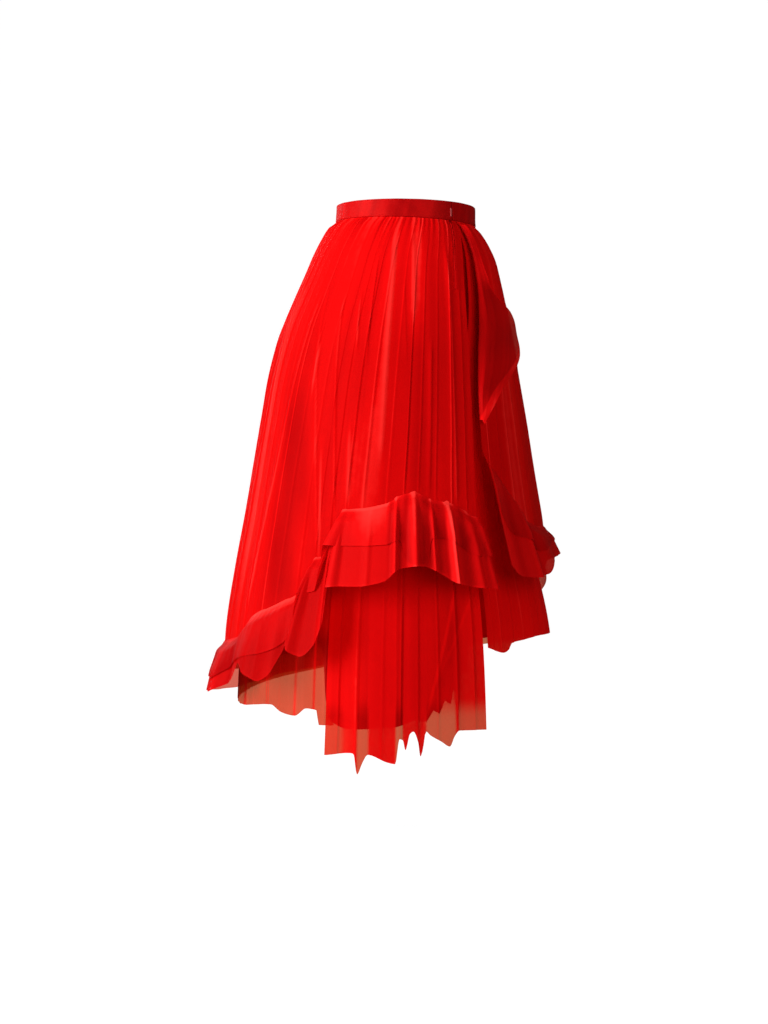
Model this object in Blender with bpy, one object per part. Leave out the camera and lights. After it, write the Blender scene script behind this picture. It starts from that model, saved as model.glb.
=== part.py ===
"""A red pleated tulle wrap skirt, filled out as when it is worn and held up at its waist.

Frame: metres, +Z up. The origin is the centre of the waist ring, halfway up the waistband.
The front of the skirt faces -Y, and +X is on the right of someone who looks at the front.

The cloth layers share one form: an oval for each height, whose half-widths come from
SECTIONS. A point of a layer is named by its place across the pleats (0 at the straight
front edge, 1 at the curved wrap edge, counted round the left side and the back), by its
height, and by how far outside the form it lies. The pleats of all layers are in step, so
the layers nest as they do on the real skirt and never cross.
"""

import math
from collections import namedtuple

import bpy

# ---------------------------------------------------------------- driving dimensions

CLOTH = 0.0010  # thickness of each tulle or lining wall
SEAM_GAP = 0.0003  # clearance between separate pieces
BAND_HEIGHT = 0.031
BAND_OUT = 0.0005  # the band's outer face stands this far outside the form
BAND_THICK = 0.0056  # satin folded over the gathered layers
BAND_JOIN = -50.0  # degrees: where the band's two ends meet, front right
PLEATS = 58  # pleats in the overlay, from edge to edge
COLUMNS_PER_PLEAT = 2

LAYER_TOP = -BAND_HEIGHT / 2 - SEAM_GAP
UPPER_ROWS = (LAYER_TOP, -0.024, -0.036, -0.058, -0.090, -0.140)  # shared by nested layers

# Half-widths of the overlay's mean surface, from the origin's axis, and how steeply each
# section drops towards the right.
Section = namedtuple("Section", "z left right front back tilt")
SECTIONS = (
    Section(0.016, 0.1200, 0.1200, 0.0970, 0.0960, 0.016),
    Section(-0.016, 0.1215, 0.1210, 0.0980, 0.0970, 0.036),
    Section(-0.026, 0.1345, 0.1300, 0.1050, 0.1050, 0.034),
    Section(-0.050, 0.1495, 0.1455, 0.1170, 0.1200, 0.031),
    Section(-0.076, 0.1625, 0.1570, 0.1270, 0.1330, 0.028),
    Section(-0.102, 0.1735, 0.1635, 0.1360, 0.1450, 0.025),
    Section(-0.154, 0.1965, 0.1745, 0.1525, 0.1670, 0.020),
    Section(-0.206, 0.2175, 0.1845, 0.1675, 0.1870, 0.016),
    Section(-0.284, 0.2380, 0.1970, 0.1820, 0.2070, 0.011),
    Section(-0.363, 0.2520, 0.2100, 0.1940, 0.2220, 0.008),
    Section(-0.441, 0.2650, 0.2220, 0.2050, 0.2340, 0.006),
    Section(-0.519, 0.2780, 0.2355, 0.2160, 0.2460, 0.004),
    Section(-0.600, 0.2930, 0.2525, 0.2290, 0.2580, 0.003),
    Section(-0.700, 0.3090, 0.2750, 0.2450, 0.2730, 0.001),
    Section(-0.780, 0.3170, 0.2860, 0.2560, 0.2830, 0.000),
    Section(-0.860, 0.3220, 0.2930, 0.2650, 0.2910, 0.000),
    Section(-0.960, 0.3290, 0.2990, 0.2730, 0.2980, 0.000),
)

# Angles of the overlay's two edges, in degrees: 0 is right, -90 front, -180 left, -270 back.
Edge = namedtuple("Edge", "z straight wrap")
EDGES = (
    Edge(-0.016, -46.0, -404.6),
    Edge(-0.050, -50.5, -404.4),
    Edge(-0.090, -53.8, -404.6),
    Edge(-0.140, -55.5, -405.4),
    Edge(-0.243, -57.3, -411.0),
    Edge(-0.361, -59.0, -415.0),
    Edge(-0.510, -61.0, -415.5),
    Edge(-0.960, -62.0, -417.0),
)

# How deep the pleats are (half of crest to trough), and how far inside the overlay's mean
# surface the other layers hang.
Depth = namedtuple("Depth", "z pleat under_front under_back lining")
DEPTHS = (
    Depth(LAYER_TOP, 0.0007, 0.0014, 0.0028, 0.0050),
    Depth(-0.024, 0.0011, 0.0020, 0.0039, 0.0068),
    Depth(-0.036, 0.0016, 0.0030, 0.0056, 0.0095),
    Depth(-0.058, 0.0022, 0.0045, 0.0085, 0.0140),
    Depth(-0.090, 0.0028, 0.0065, 0.0125, 0.0200),
    Depth(-0.140, 0.0035, 0.0085, 0.0165, 0.0270),
    Depth(-0.260, 0.0044, 0.0120, 0.0210, 0.0370),
    Depth(-0.480, 0.0056, 0.0170, 0.0260, 0.0520),
    Depth(-0.700, 0.0066, 0.0210, 0.0280, 0.0700),
    Depth(-0.960, 0.0072, 0.0240, 0.0320, 0.0780),
)

# The overlay's hem and the two tiers of ruffle that hang from it, a row for each bend.
Hem = namedtuple("Hem", "angle seam upper lower")
HEM = (
    Hem(-60.5, -0.518, -0.585, -0.637),
    Hem(-66.5, -0.507, -0.578, -0.636),
    Hem(-74.0, -0.498, -0.559, -0.627),
    Hem(-81.0, -0.492, -0.553, -0.608),
    Hem(-87.0, -0.483, -0.551, -0.603),
    Hem(-92.5, -0.488, -0.559, -0.603),
    Hem(-97.5, -0.501, -0.568, -0.629),
    Hem(-106.0, -0.507, -0.570, -0.636),
    Hem(-113.0, -0.510, -0.571, -0.638),
    Hem(-116.0, -0.544, -0.600, -0.655),
    Hem(-119.0, -0.583, -0.636, -0.690),
    Hem(-123.0, -0.598, -0.650, -0.706),
    Hem(-126.0, -0.644, -0.695, -0.730),
    Hem(-130.0, -0.658, -0.722, -0.770),
    Hem(-136.5, -0.668, -0.734, -0.791),
    Hem(-149.0, -0.692, -0.755, -0.798),
    Hem(-155.0, -0.722, -0.778, -0.806),
    Hem(-165.0, -0.733, -0.797, -0.819),
    Hem(-180.0, -0.737, -0.800, -0.824),
    Hem(-205.0, -0.736, -0.800, -0.838),
    Hem(-237.0, -0.715, -0.779, -0.822),
    Hem(-270.0, -0.680, -0.745, -0.792),
    Hem(-310.0, -0.620, -0.685, -0.728),
    Hem(-330.0, -0.580, -0.632, -0.664),
    Hem(-345.0, -0.552, -0.582, -0.603),
    Hem(-364.5, -0.537, -0.558, -0.583),
    Hem(-375.0, -0.538, -0.564, -0.587),
    Hem(-385.0, -0.536, -0.572, -0.597),
    Hem(-392.0, -0.527, -0.578, -0.617),
    Hem(-400.0, -0.490, -0.560, -0.621),
    Hem(-408.0, -0.450, -0.548, -0.620),
    Hem(-412.5, -0.432, -0.530, -0.612),
    Hem(-415.2, -0.412, -0.505, -0.600),
)
RUFFLE_LAP = 0.010  # the overlay ends this far below the ruffles' seam
RUFFLE_WAVES = 27
COLUMNS_PER_WAVE = 4
RUFFLE_FLARE = 0.012  # how far the ruffles lean out at RUFFLE_DROP below their seam
RUFFLE_DROP = 0.070
RUFFLE_WAVE = 0.0055
TIER_SPACING = 0.0024
RUFFLE_STAND = 0.0006  # the lower tier's inner face clears the pleats' crests by this much
RUFFLE_ROWS = (0.0, 0.3, 0.65, 1.0)

# Hems of the two sheer under layers and of the lining: height at an angle.
Low = namedtuple("Low", "angle z")
UNDER_FRONT_HEM = (
    Low(-60.0, -0.871),
    Low(-66.0, -0.873),
    Low(-71.0, -0.878),
    Low(-74.5, -0.901),
    Low(-80.0, -0.886),
    Low(-83.5, -0.882),
    Low(-86.5, -0.916),
    Low(-89.5, -0.887),
    Low(-93.0, -0.928),
    Low(-96.5, -0.926),
    Low(-101.0, -0.909),
    Low(-104.5, -0.946),
    Low(-108.0, -0.914),
    Low(-116.0, -0.913),
)
UNDER_BACK_HEM = (
    Low(-106.0, -0.876),
    Low(-117.0, -0.876),
    Low(-120.0, -0.850),
    Low(-127.0, -0.860),
    Low(-136.5, -0.848),
    Low(-152.5, -0.845),
    Low(-180.0, -0.840),
    Low(-230.0, -0.820),
    Low(-270.0, -0.794),
    Low(-310.0, -0.766),
    Low(-350.0, -0.735),
    Low(-370.0, -0.726),
    Low(-403.0, -0.736),
    Low(-408.5, -0.755),
    Low(-420.0, -0.744),
)
LINING_HEM = (
    Low(-60.0, -0.790),
    Low(-75.0, -0.858),
    Low(-90.0, -0.866),
    Low(-105.0, -0.845),
    Low(-114.0, -0.760),
    Low(-122.0, -0.722),
    Low(-140.0, -0.724),
    Low(-180.0, -0.730),
    Low(-270.0, -0.728),
    Low(-360.0, -0.700),
    Low(-400.0, -0.712),
    Low(-420.0, -0.790),
)
UNDER_FRONT_SPAN = (0.0, 0.155)  # places across the pleats
UNDER_BACK_SPAN = (0.147, 1 + 1 / (2 * PLEATS))
LINING_COLUMNS = 48
LOWER_ROWS = (0.12, 0.30, 0.60, 1.0)  # down from the last shared row to the hem

# The flounce on the wrap edge: its seam, its free edge, and how far each stands out.
Flounce = namedtuple("Flounce", "seam_angle seam_z free_angle free_z free_out")
FLOUNCE = (
    Flounce(-404.3, -0.022, -401.5, -0.022, 0.0030),
    Flounce(-404.2, -0.045, -399.5, -0.050, 0.0050),
    Flounce(-404.2, -0.075, -400.5, -0.090, 0.0035),
    Flounce(-404.4, -0.108, -397.5, -0.126, 0.0050),
    Flounce(-405.2, -0.140, -388.0, -0.147, 0.0045),
    Flounce(-406.8, -0.170, -368.0, -0.160, 0.0055),
    Flounce(-408.8, -0.205, -361.0, -0.192, 0.0070),
    Flounce(-411.0, -0.240, -369.0, -0.232, 0.0075),
    Flounce(-412.6, -0.276, -387.0, -0.276, 0.0075),
    Flounce(-413.9, -0.308, -400.5, -0.311, 0.0065),
    Flounce(-414.6, -0.336, -409.0, -0.341, 0.0050),
    Flounce(-415.0, -0.360, -414.3, -0.368, 0.0040),
)
FLOUNCE_COLUMNS = 34
FLOUNCE_ROWS = 7
FLOUNCE_FOLD = 0.0020  # height of its soft folds
FLOUNCE_FOLDS = 4.5
FLOUNCE_STAND = 0.0005  # its inner face clears the pleats' crests by this much

ZIP_WIDTH = 0.0034
ZIP_THICK = 0.0012
ZIP_PLEAT = 1.25  # pleats left of the straight front edge
ZIP_ROWS = UPPER_ROWS

HOOK_ANGLE = -51.4
HOOK_WIDTH = 0.0022
HOOK_THICK = 0.0012
HOOK_TOP = 0.004
HOOK_BOTTOM = -0.009

# ---------------------------------------------------------------- curves


def smooth_curve(points):
    """A curve through (x, y) points that never swings past them."""
    points = sorted(points)
    xs = [x for x, _ in points]
    ys = [y for _, y in points]
    steps = [b - a for a, b in zip(xs, xs[1:])]
    slopes = [(b - a) / step for a, b, step in zip(ys, ys[1:], steps)]
    ends = [slopes[0]]
    for before, after in zip(slopes, slopes[1:]):
        same_way = before * after > 0
        ends.append(2 * before * after / (before + after) if same_way else 0.0)
    ends.append(slopes[-1])

    def height(x):
        x = min(max(x, xs[0]), xs[-1])
        i = 0
        while i < len(steps) - 1 and x > xs[i + 1]:
            i += 1
        s = (x - xs[i]) / steps[i]
        rise = s * s * (3 - 2 * s)
        leave = s * (1 - s) ** 2
        arrive = s * s * (s - 1)
        return (
            ys[i] * (1 - rise)
            + ys[i + 1] * rise
            + steps[i] * (leave * ends[i] + arrive * ends[i + 1])
        )

    return height


def column(rows, across, up):
    """The smooth curve of one named column of a table against another."""
    return smooth_curve([(getattr(row, across), getattr(row, up)) for row in rows])


HALF_WIDTH = {side: column(SECTIONS, "z", side) for side in ("left", "right", "front", "back")}
TILT = column(SECTIONS, "z", "tilt")
EDGE_ANGLE = {edge: column(EDGES, "z", edge) for edge in ("straight", "wrap")}
DEPTH = {name: column(DEPTHS, "z", name) for name in ("pleat", "under_front", "under_back", "lining")}
HEM_LINE = {line: column(HEM, "angle", line) for line in ("seam", "upper", "lower")}
FRONT_HEM = column(UNDER_FRONT_HEM, "angle", "z")
BACK_HEM = column(UNDER_BACK_HEM, "angle", "z")
LINING_LINE = column(LINING_HEM, "angle", "z")


# ---------------------------------------------------------------- the skirt's form


def form_point(angle, z, out):
    """A point `out` metres outside the form, at an angle in degrees and a height."""
    turn = math.radians(angle)
    cosine = math.cos(turn)
    sine = math.sin(turn)
    wide = HALF_WIDTH["right" if cosine > 0 else "left"](z)
    deep = HALF_WIDTH["back" if sine > 0 else "front"](z)
    reach = out / math.hypot(cosine / wide, sine / deep)
    x = wide * cosine + cosine / wide * reach
    y = deep * sine + sine / deep * reach
    return (x, y, z - TILT(z) * x)


def pleat_angle(place, z):
    """The angle of a place across the pleats, slightly uneven as pressed pleats are."""
    straight = EDGE_ANGLE["straight"](z)
    wrap = EDGE_ANGLE["wrap"](z)
    uneven = 0.7 * math.sin(14 * math.pi * place) + 0.45 * math.sin(26 * math.pi * place)
    return straight + place * (wrap - straight) + uneven


def pleat_wave(place):
    """1 on the crest of a pleat, -1 in its trough; both edges of the overlay are crests."""
    return 4 * abs(place * PLEATS % 1.0 - 0.5) - 1


def pleated_point(place, z, inset):
    out = DEPTH["pleat"](z) * pleat_wave(place) - inset
    return form_point(pleat_angle(place, z), z, out)


# ---------------------------------------------------------------- solids


def make_material(name, colour, roughness, metallic=0.0):
    material = bpy.data.materials.new(name)
    material.use_nodes = True
    shader = material.node_tree.nodes["Principled BSDF"]
    shader.inputs["Base Color"].default_value = (*colour, 1.0)
    shader.inputs["Roughness"].default_value = roughness
    shader.inputs["Metallic"].default_value = metallic
    return material


def add_wall(name, outer, inner, material, closed=False):
    """A closed wall between two grids of points, outer[column][row] and inner[column][row].

    Both faces are cut along the same diagonals, so the wall never pinches.
    """
    columns = len(outer)
    rows = len(outer[0])
    vertices = [point for line in outer for point in line]
    vertices += [point for line in inner for point in line]
    inside = columns * rows

    def at(i, j, side):
        return side * inside + i % columns * rows + j

    faces = []
    for i in range(columns if closed else columns - 1):
        for j in range(rows - 1):
            for side, flip in ((0, False), (1, True)):
                a = at(i, j, side)
                b = at(i + 1, j, side)
                c = at(i + 1, j + 1, side)
                d = at(i, j + 1, side)
                faces += [(a, c, b), (a, d, c)] if flip else [(a, b, c), (a, c, d)]
        top = (at(i, 0, 0), at(i, 0, 1), at(i + 1, 0, 1), at(i + 1, 0, 0))
        low = rows - 1
        bottom = (at(i, low, 0), at(i + 1, low, 0), at(i + 1, low, 1), at(i, low, 1))
        faces += [top, bottom]
    if not closed:
        last = columns - 1
        for j in range(rows - 1):
            faces.append((at(0, j, 0), at(0, j + 1, 0), at(0, j + 1, 1), at(0, j, 1)))
            faces.append((at(last, j, 0), at(last, j, 1), at(last, j + 1, 1), at(last, j + 1, 0)))
    mesh = bpy.data.meshes.new(name)
    mesh.from_pydata(vertices, [], faces)
    mesh.shade_smooth()
    mesh.set_sharp_from_angle(angle=math.radians(35))
    mesh.materials.append(material)
    built = bpy.data.objects.new(name, mesh)
    bpy.context.collection.objects.link(built)
    return built


def make_waistband():
    """The satin band: one strip round the waist whose ends meet at the front right."""
    columns = 56
    end_gap = 0.25  # degrees left open at each end
    heights = (BAND_HEIGHT / 2, -BAND_HEIGHT / 2)
    angles = [
        BAND_JOIN - end_gap - (360 - 2 * end_gap) * i / (columns - 1) for i in range(columns)
    ]
    outer = [[form_point(angle, z, BAND_OUT) for z in heights] for angle in angles]
    inner = [[form_point(angle, z, BAND_OUT - BAND_THICK) for z in heights] for angle in angles]
    satin = make_material("satin", (0.72, 0.008, 0.010), 0.35)
    add_wall("waistband", outer, inner, satin)


def layer_grid(places, inset_name, hem, inset_more=0.0):
    """Points of a pleated layer, from the waist seam to its own hem."""
    grid = []
    for place in places:
        heights = list(UPPER_ROWS)
        low = hem(pleat_angle(place, SECTIONS[-1].z))
        heights += [UPPER_ROWS[-1] + (low - UPPER_ROWS[-1]) * part for part in LOWER_ROWS]
        line = []
        for z in heights:
            inset = DEPTH[inset_name](z) if inset_name else 0.0
            line.append(pleated_point(place, z, inset + inset_more))
        grid.append(line)
    return grid


def places_between(first, last):
    """Every crest and trough between two places, both ends included."""
    half_pleats = PLEATS * COLUMNS_PER_PLEAT
    return [n / half_pleats for n in range(round(first * half_pleats), round(last * half_pleats) + 1)]


def make_layer(name, span, inset_name, hem, material):
    places = places_between(*span)
    outer = layer_grid(places, inset_name, hem)
    inner = layer_grid(places, inset_name, hem, CLOTH)
    add_wall(name, outer, inner, material)


def overlay_hem(angle):
    return HEM_LINE["seam"](angle) - RUFFLE_LAP


def make_lining():
    """The opaque inner skirt, a tube with a higher hem at the sides."""
    grids = []
    for more in (0.0, CLOTH):
        grid = []
        for n in range(LINING_COLUMNS):
            angle = LINING_HEM[0].angle - 360 * n / LINING_COLUMNS
            low = LINING_LINE(angle)
            last = UPPER_ROWS[-1]
            heights = list(UPPER_ROWS) + [last + (low - last) * part for part in LOWER_ROWS]
            grid.append([form_point(angle, z, -DEPTH["lining"](z) - more) for z in heights])
        grids.append(grid)
    lining = make_material("lining", (0.62, 0.006, 0.008), 0.6)
    add_wall("lining", grids[0], grids[1], lining, closed=True)


def ruffle_angles():
    """Angles along the hem, evenly spaced by its real length, so steep stretches get more."""
    fine = 1200
    first = HEM[0].angle
    last = HEM[-1].angle
    angles = [first + (last - first) * n / fine for n in range(fine + 1)]
    places = [form_point(angle, HEM_LINE["seam"](angle), 0.0) for angle in angles]
    lengths = [0.0]
    for a, b in zip(places, places[1:]):
        lengths.append(lengths[-1] + math.dist(a, b))
    count = RUFFLE_WAVES * COLUMNS_PER_WAVE
    chosen = []
    i = 0
    for n in range(count + 1):
        goal = lengths[-1] * n / count
        while i < fine - 1 and lengths[i + 1] < goal:
            i += 1
        part = (goal - lengths[i]) / (lengths[i + 1] - lengths[i])
        chosen.append(angles[i] + part * (angles[i + 1] - angles[i]))
    return chosen


def make_ruffle(name, bottom, tier, material):
    """One tier of the hem ruffle. `tier` counts outwards from the overlay."""
    grids = []
    for more in (0.0, CLOTH):
        grid = []
        for n, angle in enumerate(ruffle_angles()):
            seam = HEM_LINE["seam"](angle)
            length = seam - HEM_LINE[bottom](angle)
            swing = math.sin(2 * math.pi * n / COLUMNS_PER_WAVE)
            line = []
            for part in RUFFLE_ROWS:
                drop = length * part
                lean = drop / RUFFLE_DROP
                stand = DEPTH["pleat"](seam) + CLOTH + RUFFLE_STAND + tier * TIER_SPACING
                out = stand + RUFFLE_FLARE * lean + RUFFLE_WAVE * min(lean, 1.2) * swing
                line.append(form_point(angle, seam - drop, out - more))
            grid.append(line)
        grids.append(grid)
    add_wall(name, grids[0], grids[1], material)


def make_flounce():
    """The cascade on the wrap edge: it lies over the right side and narrows at both ends."""
    count = len(FLOUNCE) - 1
    names = Flounce._fields
    lines = {
        name: smooth_curve([(n / count, getattr(row, name)) for n, row in enumerate(FLOUNCE)])
        for name in names
    }
    grids = []
    for more in (0.0, CLOTH):
        grid = []
        for n in range(FLOUNCE_COLUMNS):
            along = n / (FLOUNCE_COLUMNS - 1)
            seam_angle = lines["seam_angle"](along)
            seam_z = lines["seam_z"](along)
            line = []
            for m in range(FLOUNCE_ROWS):
                across = m / (FLOUNCE_ROWS - 1)
                angle = seam_angle + (lines["free_angle"](along) - seam_angle) * across
                z = seam_z + (lines["free_z"](along) - seam_z) * across
                fold = math.sin(2 * math.pi * FLOUNCE_FOLDS * along + 1.5 * across)
                out = DEPTH["pleat"](z) + FLOUNCE_STAND + CLOTH
                out += lines["free_out"](along) * across
                out += FLOUNCE_FOLD * across * (1 + fold)
                line.append(form_point(angle, z, out - more))
            grid.append(line)
        grids.append(grid)
    organza = make_material("flounce organza", (0.55, 0.004, 0.008), 0.5)
    add_wall("cascade", grids[0], grids[1], organza)


def make_zip():
    """The closed zip: a narrow raised line on the overlay, along one side of a pleat."""
    place = ZIP_PLEAT / PLEATS
    grids = []
    for out in (SEAM_GAP + ZIP_THICK, SEAM_GAP):
        grid = []
        for side in (-0.5, 0.5):
            line = []
            for z in ZIP_ROWS:
                wide = HALF_WIDTH["front"](z) * math.radians(360)
                step = ZIP_WIDTH * side / wide
                line.append(pleated_point(place + step, z, -out))
            grid.append(line)
        grids.append(grid)
    tape = make_material("zip tape", (0.30, 0.002, 0.004), 0.6)
    add_wall("side_zip", grids[0], grids[1], tape)


def make_hook():
    """The small bar that holds the band closed."""
    half = math.degrees(HOOK_WIDTH / 2 / HALF_WIDTH["front"](0.0))
    grids = []
    for out in (BAND_OUT + SEAM_GAP + HOOK_THICK, BAND_OUT + SEAM_GAP):
        grid = [
            [form_point(HOOK_ANGLE + side * half, z, out) for z in (HOOK_TOP, HOOK_BOTTOM)]
            for side in (1, -1)
        ]
        grids.append(grid)
    metal = make_material("hook metal", (0.85, 0.55, 0.52), 0.35, 0.8)
    add_wall("waist_hook", grids[0], grids[1], metal)


def main():
    for old in list(bpy.data.objects):
        bpy.data.objects.remove(old, do_unlink=True)
    tulle = make_material("overlay tulle", (0.80, 0.010, 0.015), 0.55)
    sheer = make_material("sheer tulle", (0.85, 0.060, 0.040), 0.6)
    ruffle_cloth = make_material("ruffle organza", (0.90, 0.020, 0.020), 0.45)
    make_waistband()
    make_hook()
    make_zip()
    make_lining()
    make_layer("under_front", UNDER_FRONT_SPAN, "under_front", FRONT_HEM, sheer)
    make_layer("under_back", UNDER_BACK_SPAN, "under_back", BACK_HEM, sheer)
    make_layer("overlay", (0.0, 1.0), None, overlay_hem, tulle)
    make_ruffle("hem_ruffle_lower", "lower", 0, ruffle_cloth)
    make_ruffle("hem_ruffle_upper", "upper", 1, ruffle_cloth)
    make_flounce()


main()
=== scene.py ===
# %% [markdown]
# # A red pleated wrap skirt
# The skirt is several layers of red tulle and organza, sewn into one satin waistband. From the
# inside out they are an opaque lining, two sheer underskirts, a pleated overlay that wraps round
# the body, a two-tier ruffle on the overlay's hem, and a flounce on its wrap edge.
# The frame's solids say where each piece goes and how large it is. Here each one gets a thin
# sheet of cloth with finer pleats and folds, and a finish.

# %% Load the frame
import math
from collections import namedtuple

import bpy
import numpy as np
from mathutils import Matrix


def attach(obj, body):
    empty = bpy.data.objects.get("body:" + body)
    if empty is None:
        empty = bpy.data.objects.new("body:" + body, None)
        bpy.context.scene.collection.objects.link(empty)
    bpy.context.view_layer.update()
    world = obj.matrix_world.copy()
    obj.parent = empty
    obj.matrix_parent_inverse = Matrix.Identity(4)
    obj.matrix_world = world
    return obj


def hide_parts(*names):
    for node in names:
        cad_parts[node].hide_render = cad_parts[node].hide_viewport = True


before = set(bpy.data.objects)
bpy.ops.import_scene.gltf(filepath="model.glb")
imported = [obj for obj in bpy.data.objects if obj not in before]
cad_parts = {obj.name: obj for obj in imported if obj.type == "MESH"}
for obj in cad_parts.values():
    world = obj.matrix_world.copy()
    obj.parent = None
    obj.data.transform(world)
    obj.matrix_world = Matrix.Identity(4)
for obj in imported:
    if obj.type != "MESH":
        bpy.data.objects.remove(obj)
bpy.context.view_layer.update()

# %% [markdown]
# ## The camera
# The picture was taken from some way off, with the lens level and at about the skirt's middle, so
# the waistband arches up and the hems curve down. A long lens at that height gives the same
# curves, where a wide lens close by would bend them too much.

# %% The camera
CAMERA_PLACE = (-0.038, -3.3, -0.514)
SENSOR = 36.0
FOCAL_SHARE = 1.8525  # focal length over the sensor's long side


def link_object(name, data):
    """An object for a camera, a light or a mesh, linked into the scene."""
    made = bpy.data.objects.new(name, data)
    bpy.context.scene.collection.objects.link(made)
    return made


camera_data = bpy.data.cameras.new("camera")
camera_data.sensor_width = SENSOR
camera_data.lens = SENSOR * FOCAL_SHARE
camera = link_object("camera", camera_data)
camera.location = CAMERA_PLACE
camera.rotation_euler = (math.pi / 2, 0, 0)
bpy.context.scene.camera = camera
print("lens", round(camera_data.lens, 1), "mm")

# %% [markdown]
# ## The white paper
# White paper lies under the skirt and curves up all round it. It glows a little instead of being
# lit, so that it stays plain and throws no light of its own on the red. It is turned like a bowl
# from one profile, so that it looks the same from every side.

# %% The white paper
FLOOR_Z = -1.06
PAPER_HUB = 0.02  # the radius of the small face that closes the middle
PAPER_REACH = 6.5
PAPER_CURVE = 0.8
PAPER_TOP = 3.5
PAPER_STEPS = 12
PAPER_SIDES = 72
PAPER_GREY = (0.02, 0.02, 0.02, 1)
PAPER_GLOW = (1, 1, 1, 1)


def make_mesh(name, points, faces, finish):
    """A smooth mesh from points and faces, with its finish, as an object at the origin."""
    mesh = bpy.data.meshes.new(name)
    mesh.from_pydata(np.reshape(points, (-1, 3)).tolist(), [], faces)
    mesh.shade_smooth()
    mesh.materials.append(finish)
    return link_object(name, mesh)


def make_paper_finish():
    paper = bpy.data.materials.new("white paper")
    paper.use_nodes = True
    shader = paper.node_tree.nodes["Principled BSDF"]
    shader.inputs["Base Color"].default_value = PAPER_GREY
    shader.inputs["Roughness"].default_value = 0.9
    shader.inputs["Emission Color"].default_value = PAPER_GLOW
    shader.inputs["Emission Strength"].default_value = 1.0
    return paper


def make_sweep():
    """The paper: a flat middle, a quarter of a circle, and an upright wall, turned all round."""
    profile = [(PAPER_HUB, FLOOR_Z)]
    for step in range(PAPER_STEPS + 1):
        turn = math.pi / 2 * step / PAPER_STEPS
        reach = PAPER_REACH - PAPER_CURVE * (1 - math.sin(turn))
        profile.append((reach, FLOOR_Z + PAPER_CURVE * (1 - math.cos(turn))))
    profile.append((PAPER_REACH, PAPER_TOP))
    points = []
    for side in range(PAPER_SIDES):
        turn = 2 * math.pi * side / PAPER_SIDES
        points += [(reach * math.cos(turn), reach * math.sin(turn), z) for reach, z in profile]
    index = np.arange(len(points)).reshape(PAPER_SIDES, len(profile))
    after = np.roll(index, -1, axis=0)
    walls = np.stack([index[:, 1:], index[:, :-1], after[:, :-1], after[:, 1:]], axis=-1)
    faces = walls.reshape(-1, 4).tolist() + [index[:, 0].tolist()]
    sweep = make_mesh("sweep", points, faces, make_paper_finish())
    sweep.visible_diffuse = False
    sweep.visible_glossy = False
    sweep.visible_shadow = False


make_sweep()
print("paper", PAPER_SIDES, "sides")

# %% [markdown]
# ## The lights
# One large soft light on the left models the pleats. The side away from it falls into deep red,
# and a weak fill keeps the cloth there readable. Two more lights behind the skirt let its edges
# and the sheer hems glow.

# %% The lights
LIGHT_AIM = (0.0, 0.0, -0.45)
WORLD_COLOUR = (1.0, 0.35, 0.30, 1)
WORLD_STRENGTH = 0.11
CLEAR_LAYERS = 32  # how many see-through layers a ray may cross


def add_light(name, place, size, power):
    """A rectangular light, turned to face the middle of the skirt."""
    data = bpy.data.lights.new(name, "AREA")
    data.shape = "RECTANGLE"
    data.size = size[0]
    data.size_y = size[1]
    data.energy = power
    light = link_object(name, data)
    light.location = place
    way = np.subtract(LIGHT_AIM, place)
    tilt = math.atan2(math.hypot(way[0], way[1]), -way[2])
    light.rotation_euler = (tilt, 0, math.atan2(-way[0], way[1]))
    return light


add_light("key", (-3.0, -1.9, 0.45), (1.6, 2.2), 212)
add_light("fill", (1.8, -3.2, 0.5), (2.5, 2.5), 66)
add_light("edge", (-1.8, 1.9, 0.6), (1.5, 2.0), 5)
glow_light = add_light("glow from behind", (-0.8, 1.9, 0.0), (2.0, 1.6), 45)
glow_light.visible_glossy = False
world = bpy.data.worlds.new("studio")
bpy.context.scene.world = world
world.use_nodes = True
world.node_tree.nodes["Background"].inputs["Color"].default_value = WORLD_COLOUR
world.node_tree.nodes["Background"].inputs["Strength"].default_value = WORLD_STRENGTH
bpy.context.scene.view_settings.view_transform = "Standard"
bpy.context.scene.cycles.transparent_max_bounces = CLEAR_LAYERS
print("lights", len(bpy.data.lights))

# %% [markdown]
# ## Shader sums in plain Python
# A finish is a small formula of noise, stripes and distances. Its nodes could be wired one by
# one, but a formula reads better. This class wraps a socket, so that `1 - mask * 0.3` adds the
# Math nodes that it needs, and its `node` method adds any other node.


# %% A socket that does sums
class Wire:
    """One socket of a material's nodes, on which Python's sums work."""

    def __init__(self, tree, socket=None):
        self.tree = tree
        self.socket = socket

    def node(self, kind, settings, sockets, output=0):
        """Adds a node, sets it, fills or links its sockets, and gives one of its outputs."""
        made = self.tree.nodes.new(kind)
        for name, value in settings.items():
            setattr(made, name, value)
        for name, value in sockets.items():
            if isinstance(value, Wire):
                self.tree.links.new(value.socket, made.inputs[name])
            else:
                made.inputs[name].default_value = value
        return Wire(self.tree, made.outputs[output] if made.outputs else None)

    def sum(self, operation, first, second=0.0):
        return self.node("ShaderNodeMath", {"operation": operation}, {0: first, 1: second})

    def blend(self, first, second):
        """The first colour where this value is 0, and the second where it is 1."""
        colours = {0: self, 6: first, 7: second}
        return self.node("ShaderNodeMix", {"data_type": "RGBA"}, colours, 2)

    def clamp(self):
        """The value, held between 0 and 1."""
        return self.sum("MINIMUM", self.sum("MAXIMUM", self, 0.0), 1.0)

    def __add__(self, other):
        return self.sum("ADD", self, other)

    def __sub__(self, other):
        return self.sum("SUBTRACT", self, other)

    def __rsub__(self, other):
        return self.sum("SUBTRACT", other, self)

    def __mul__(self, other):
        return self.sum("MULTIPLY", self, other)

    __radd__ = __add__
    __rmul__ = __mul__


def new_finish(name):
    """An empty material, and a Wire that adds nodes to it."""
    material = bpy.data.materials.new(name)
    material.use_nodes = True
    material.node_tree.nodes.clear()
    return material, Wire(material.node_tree)


print("sums ready")

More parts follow.
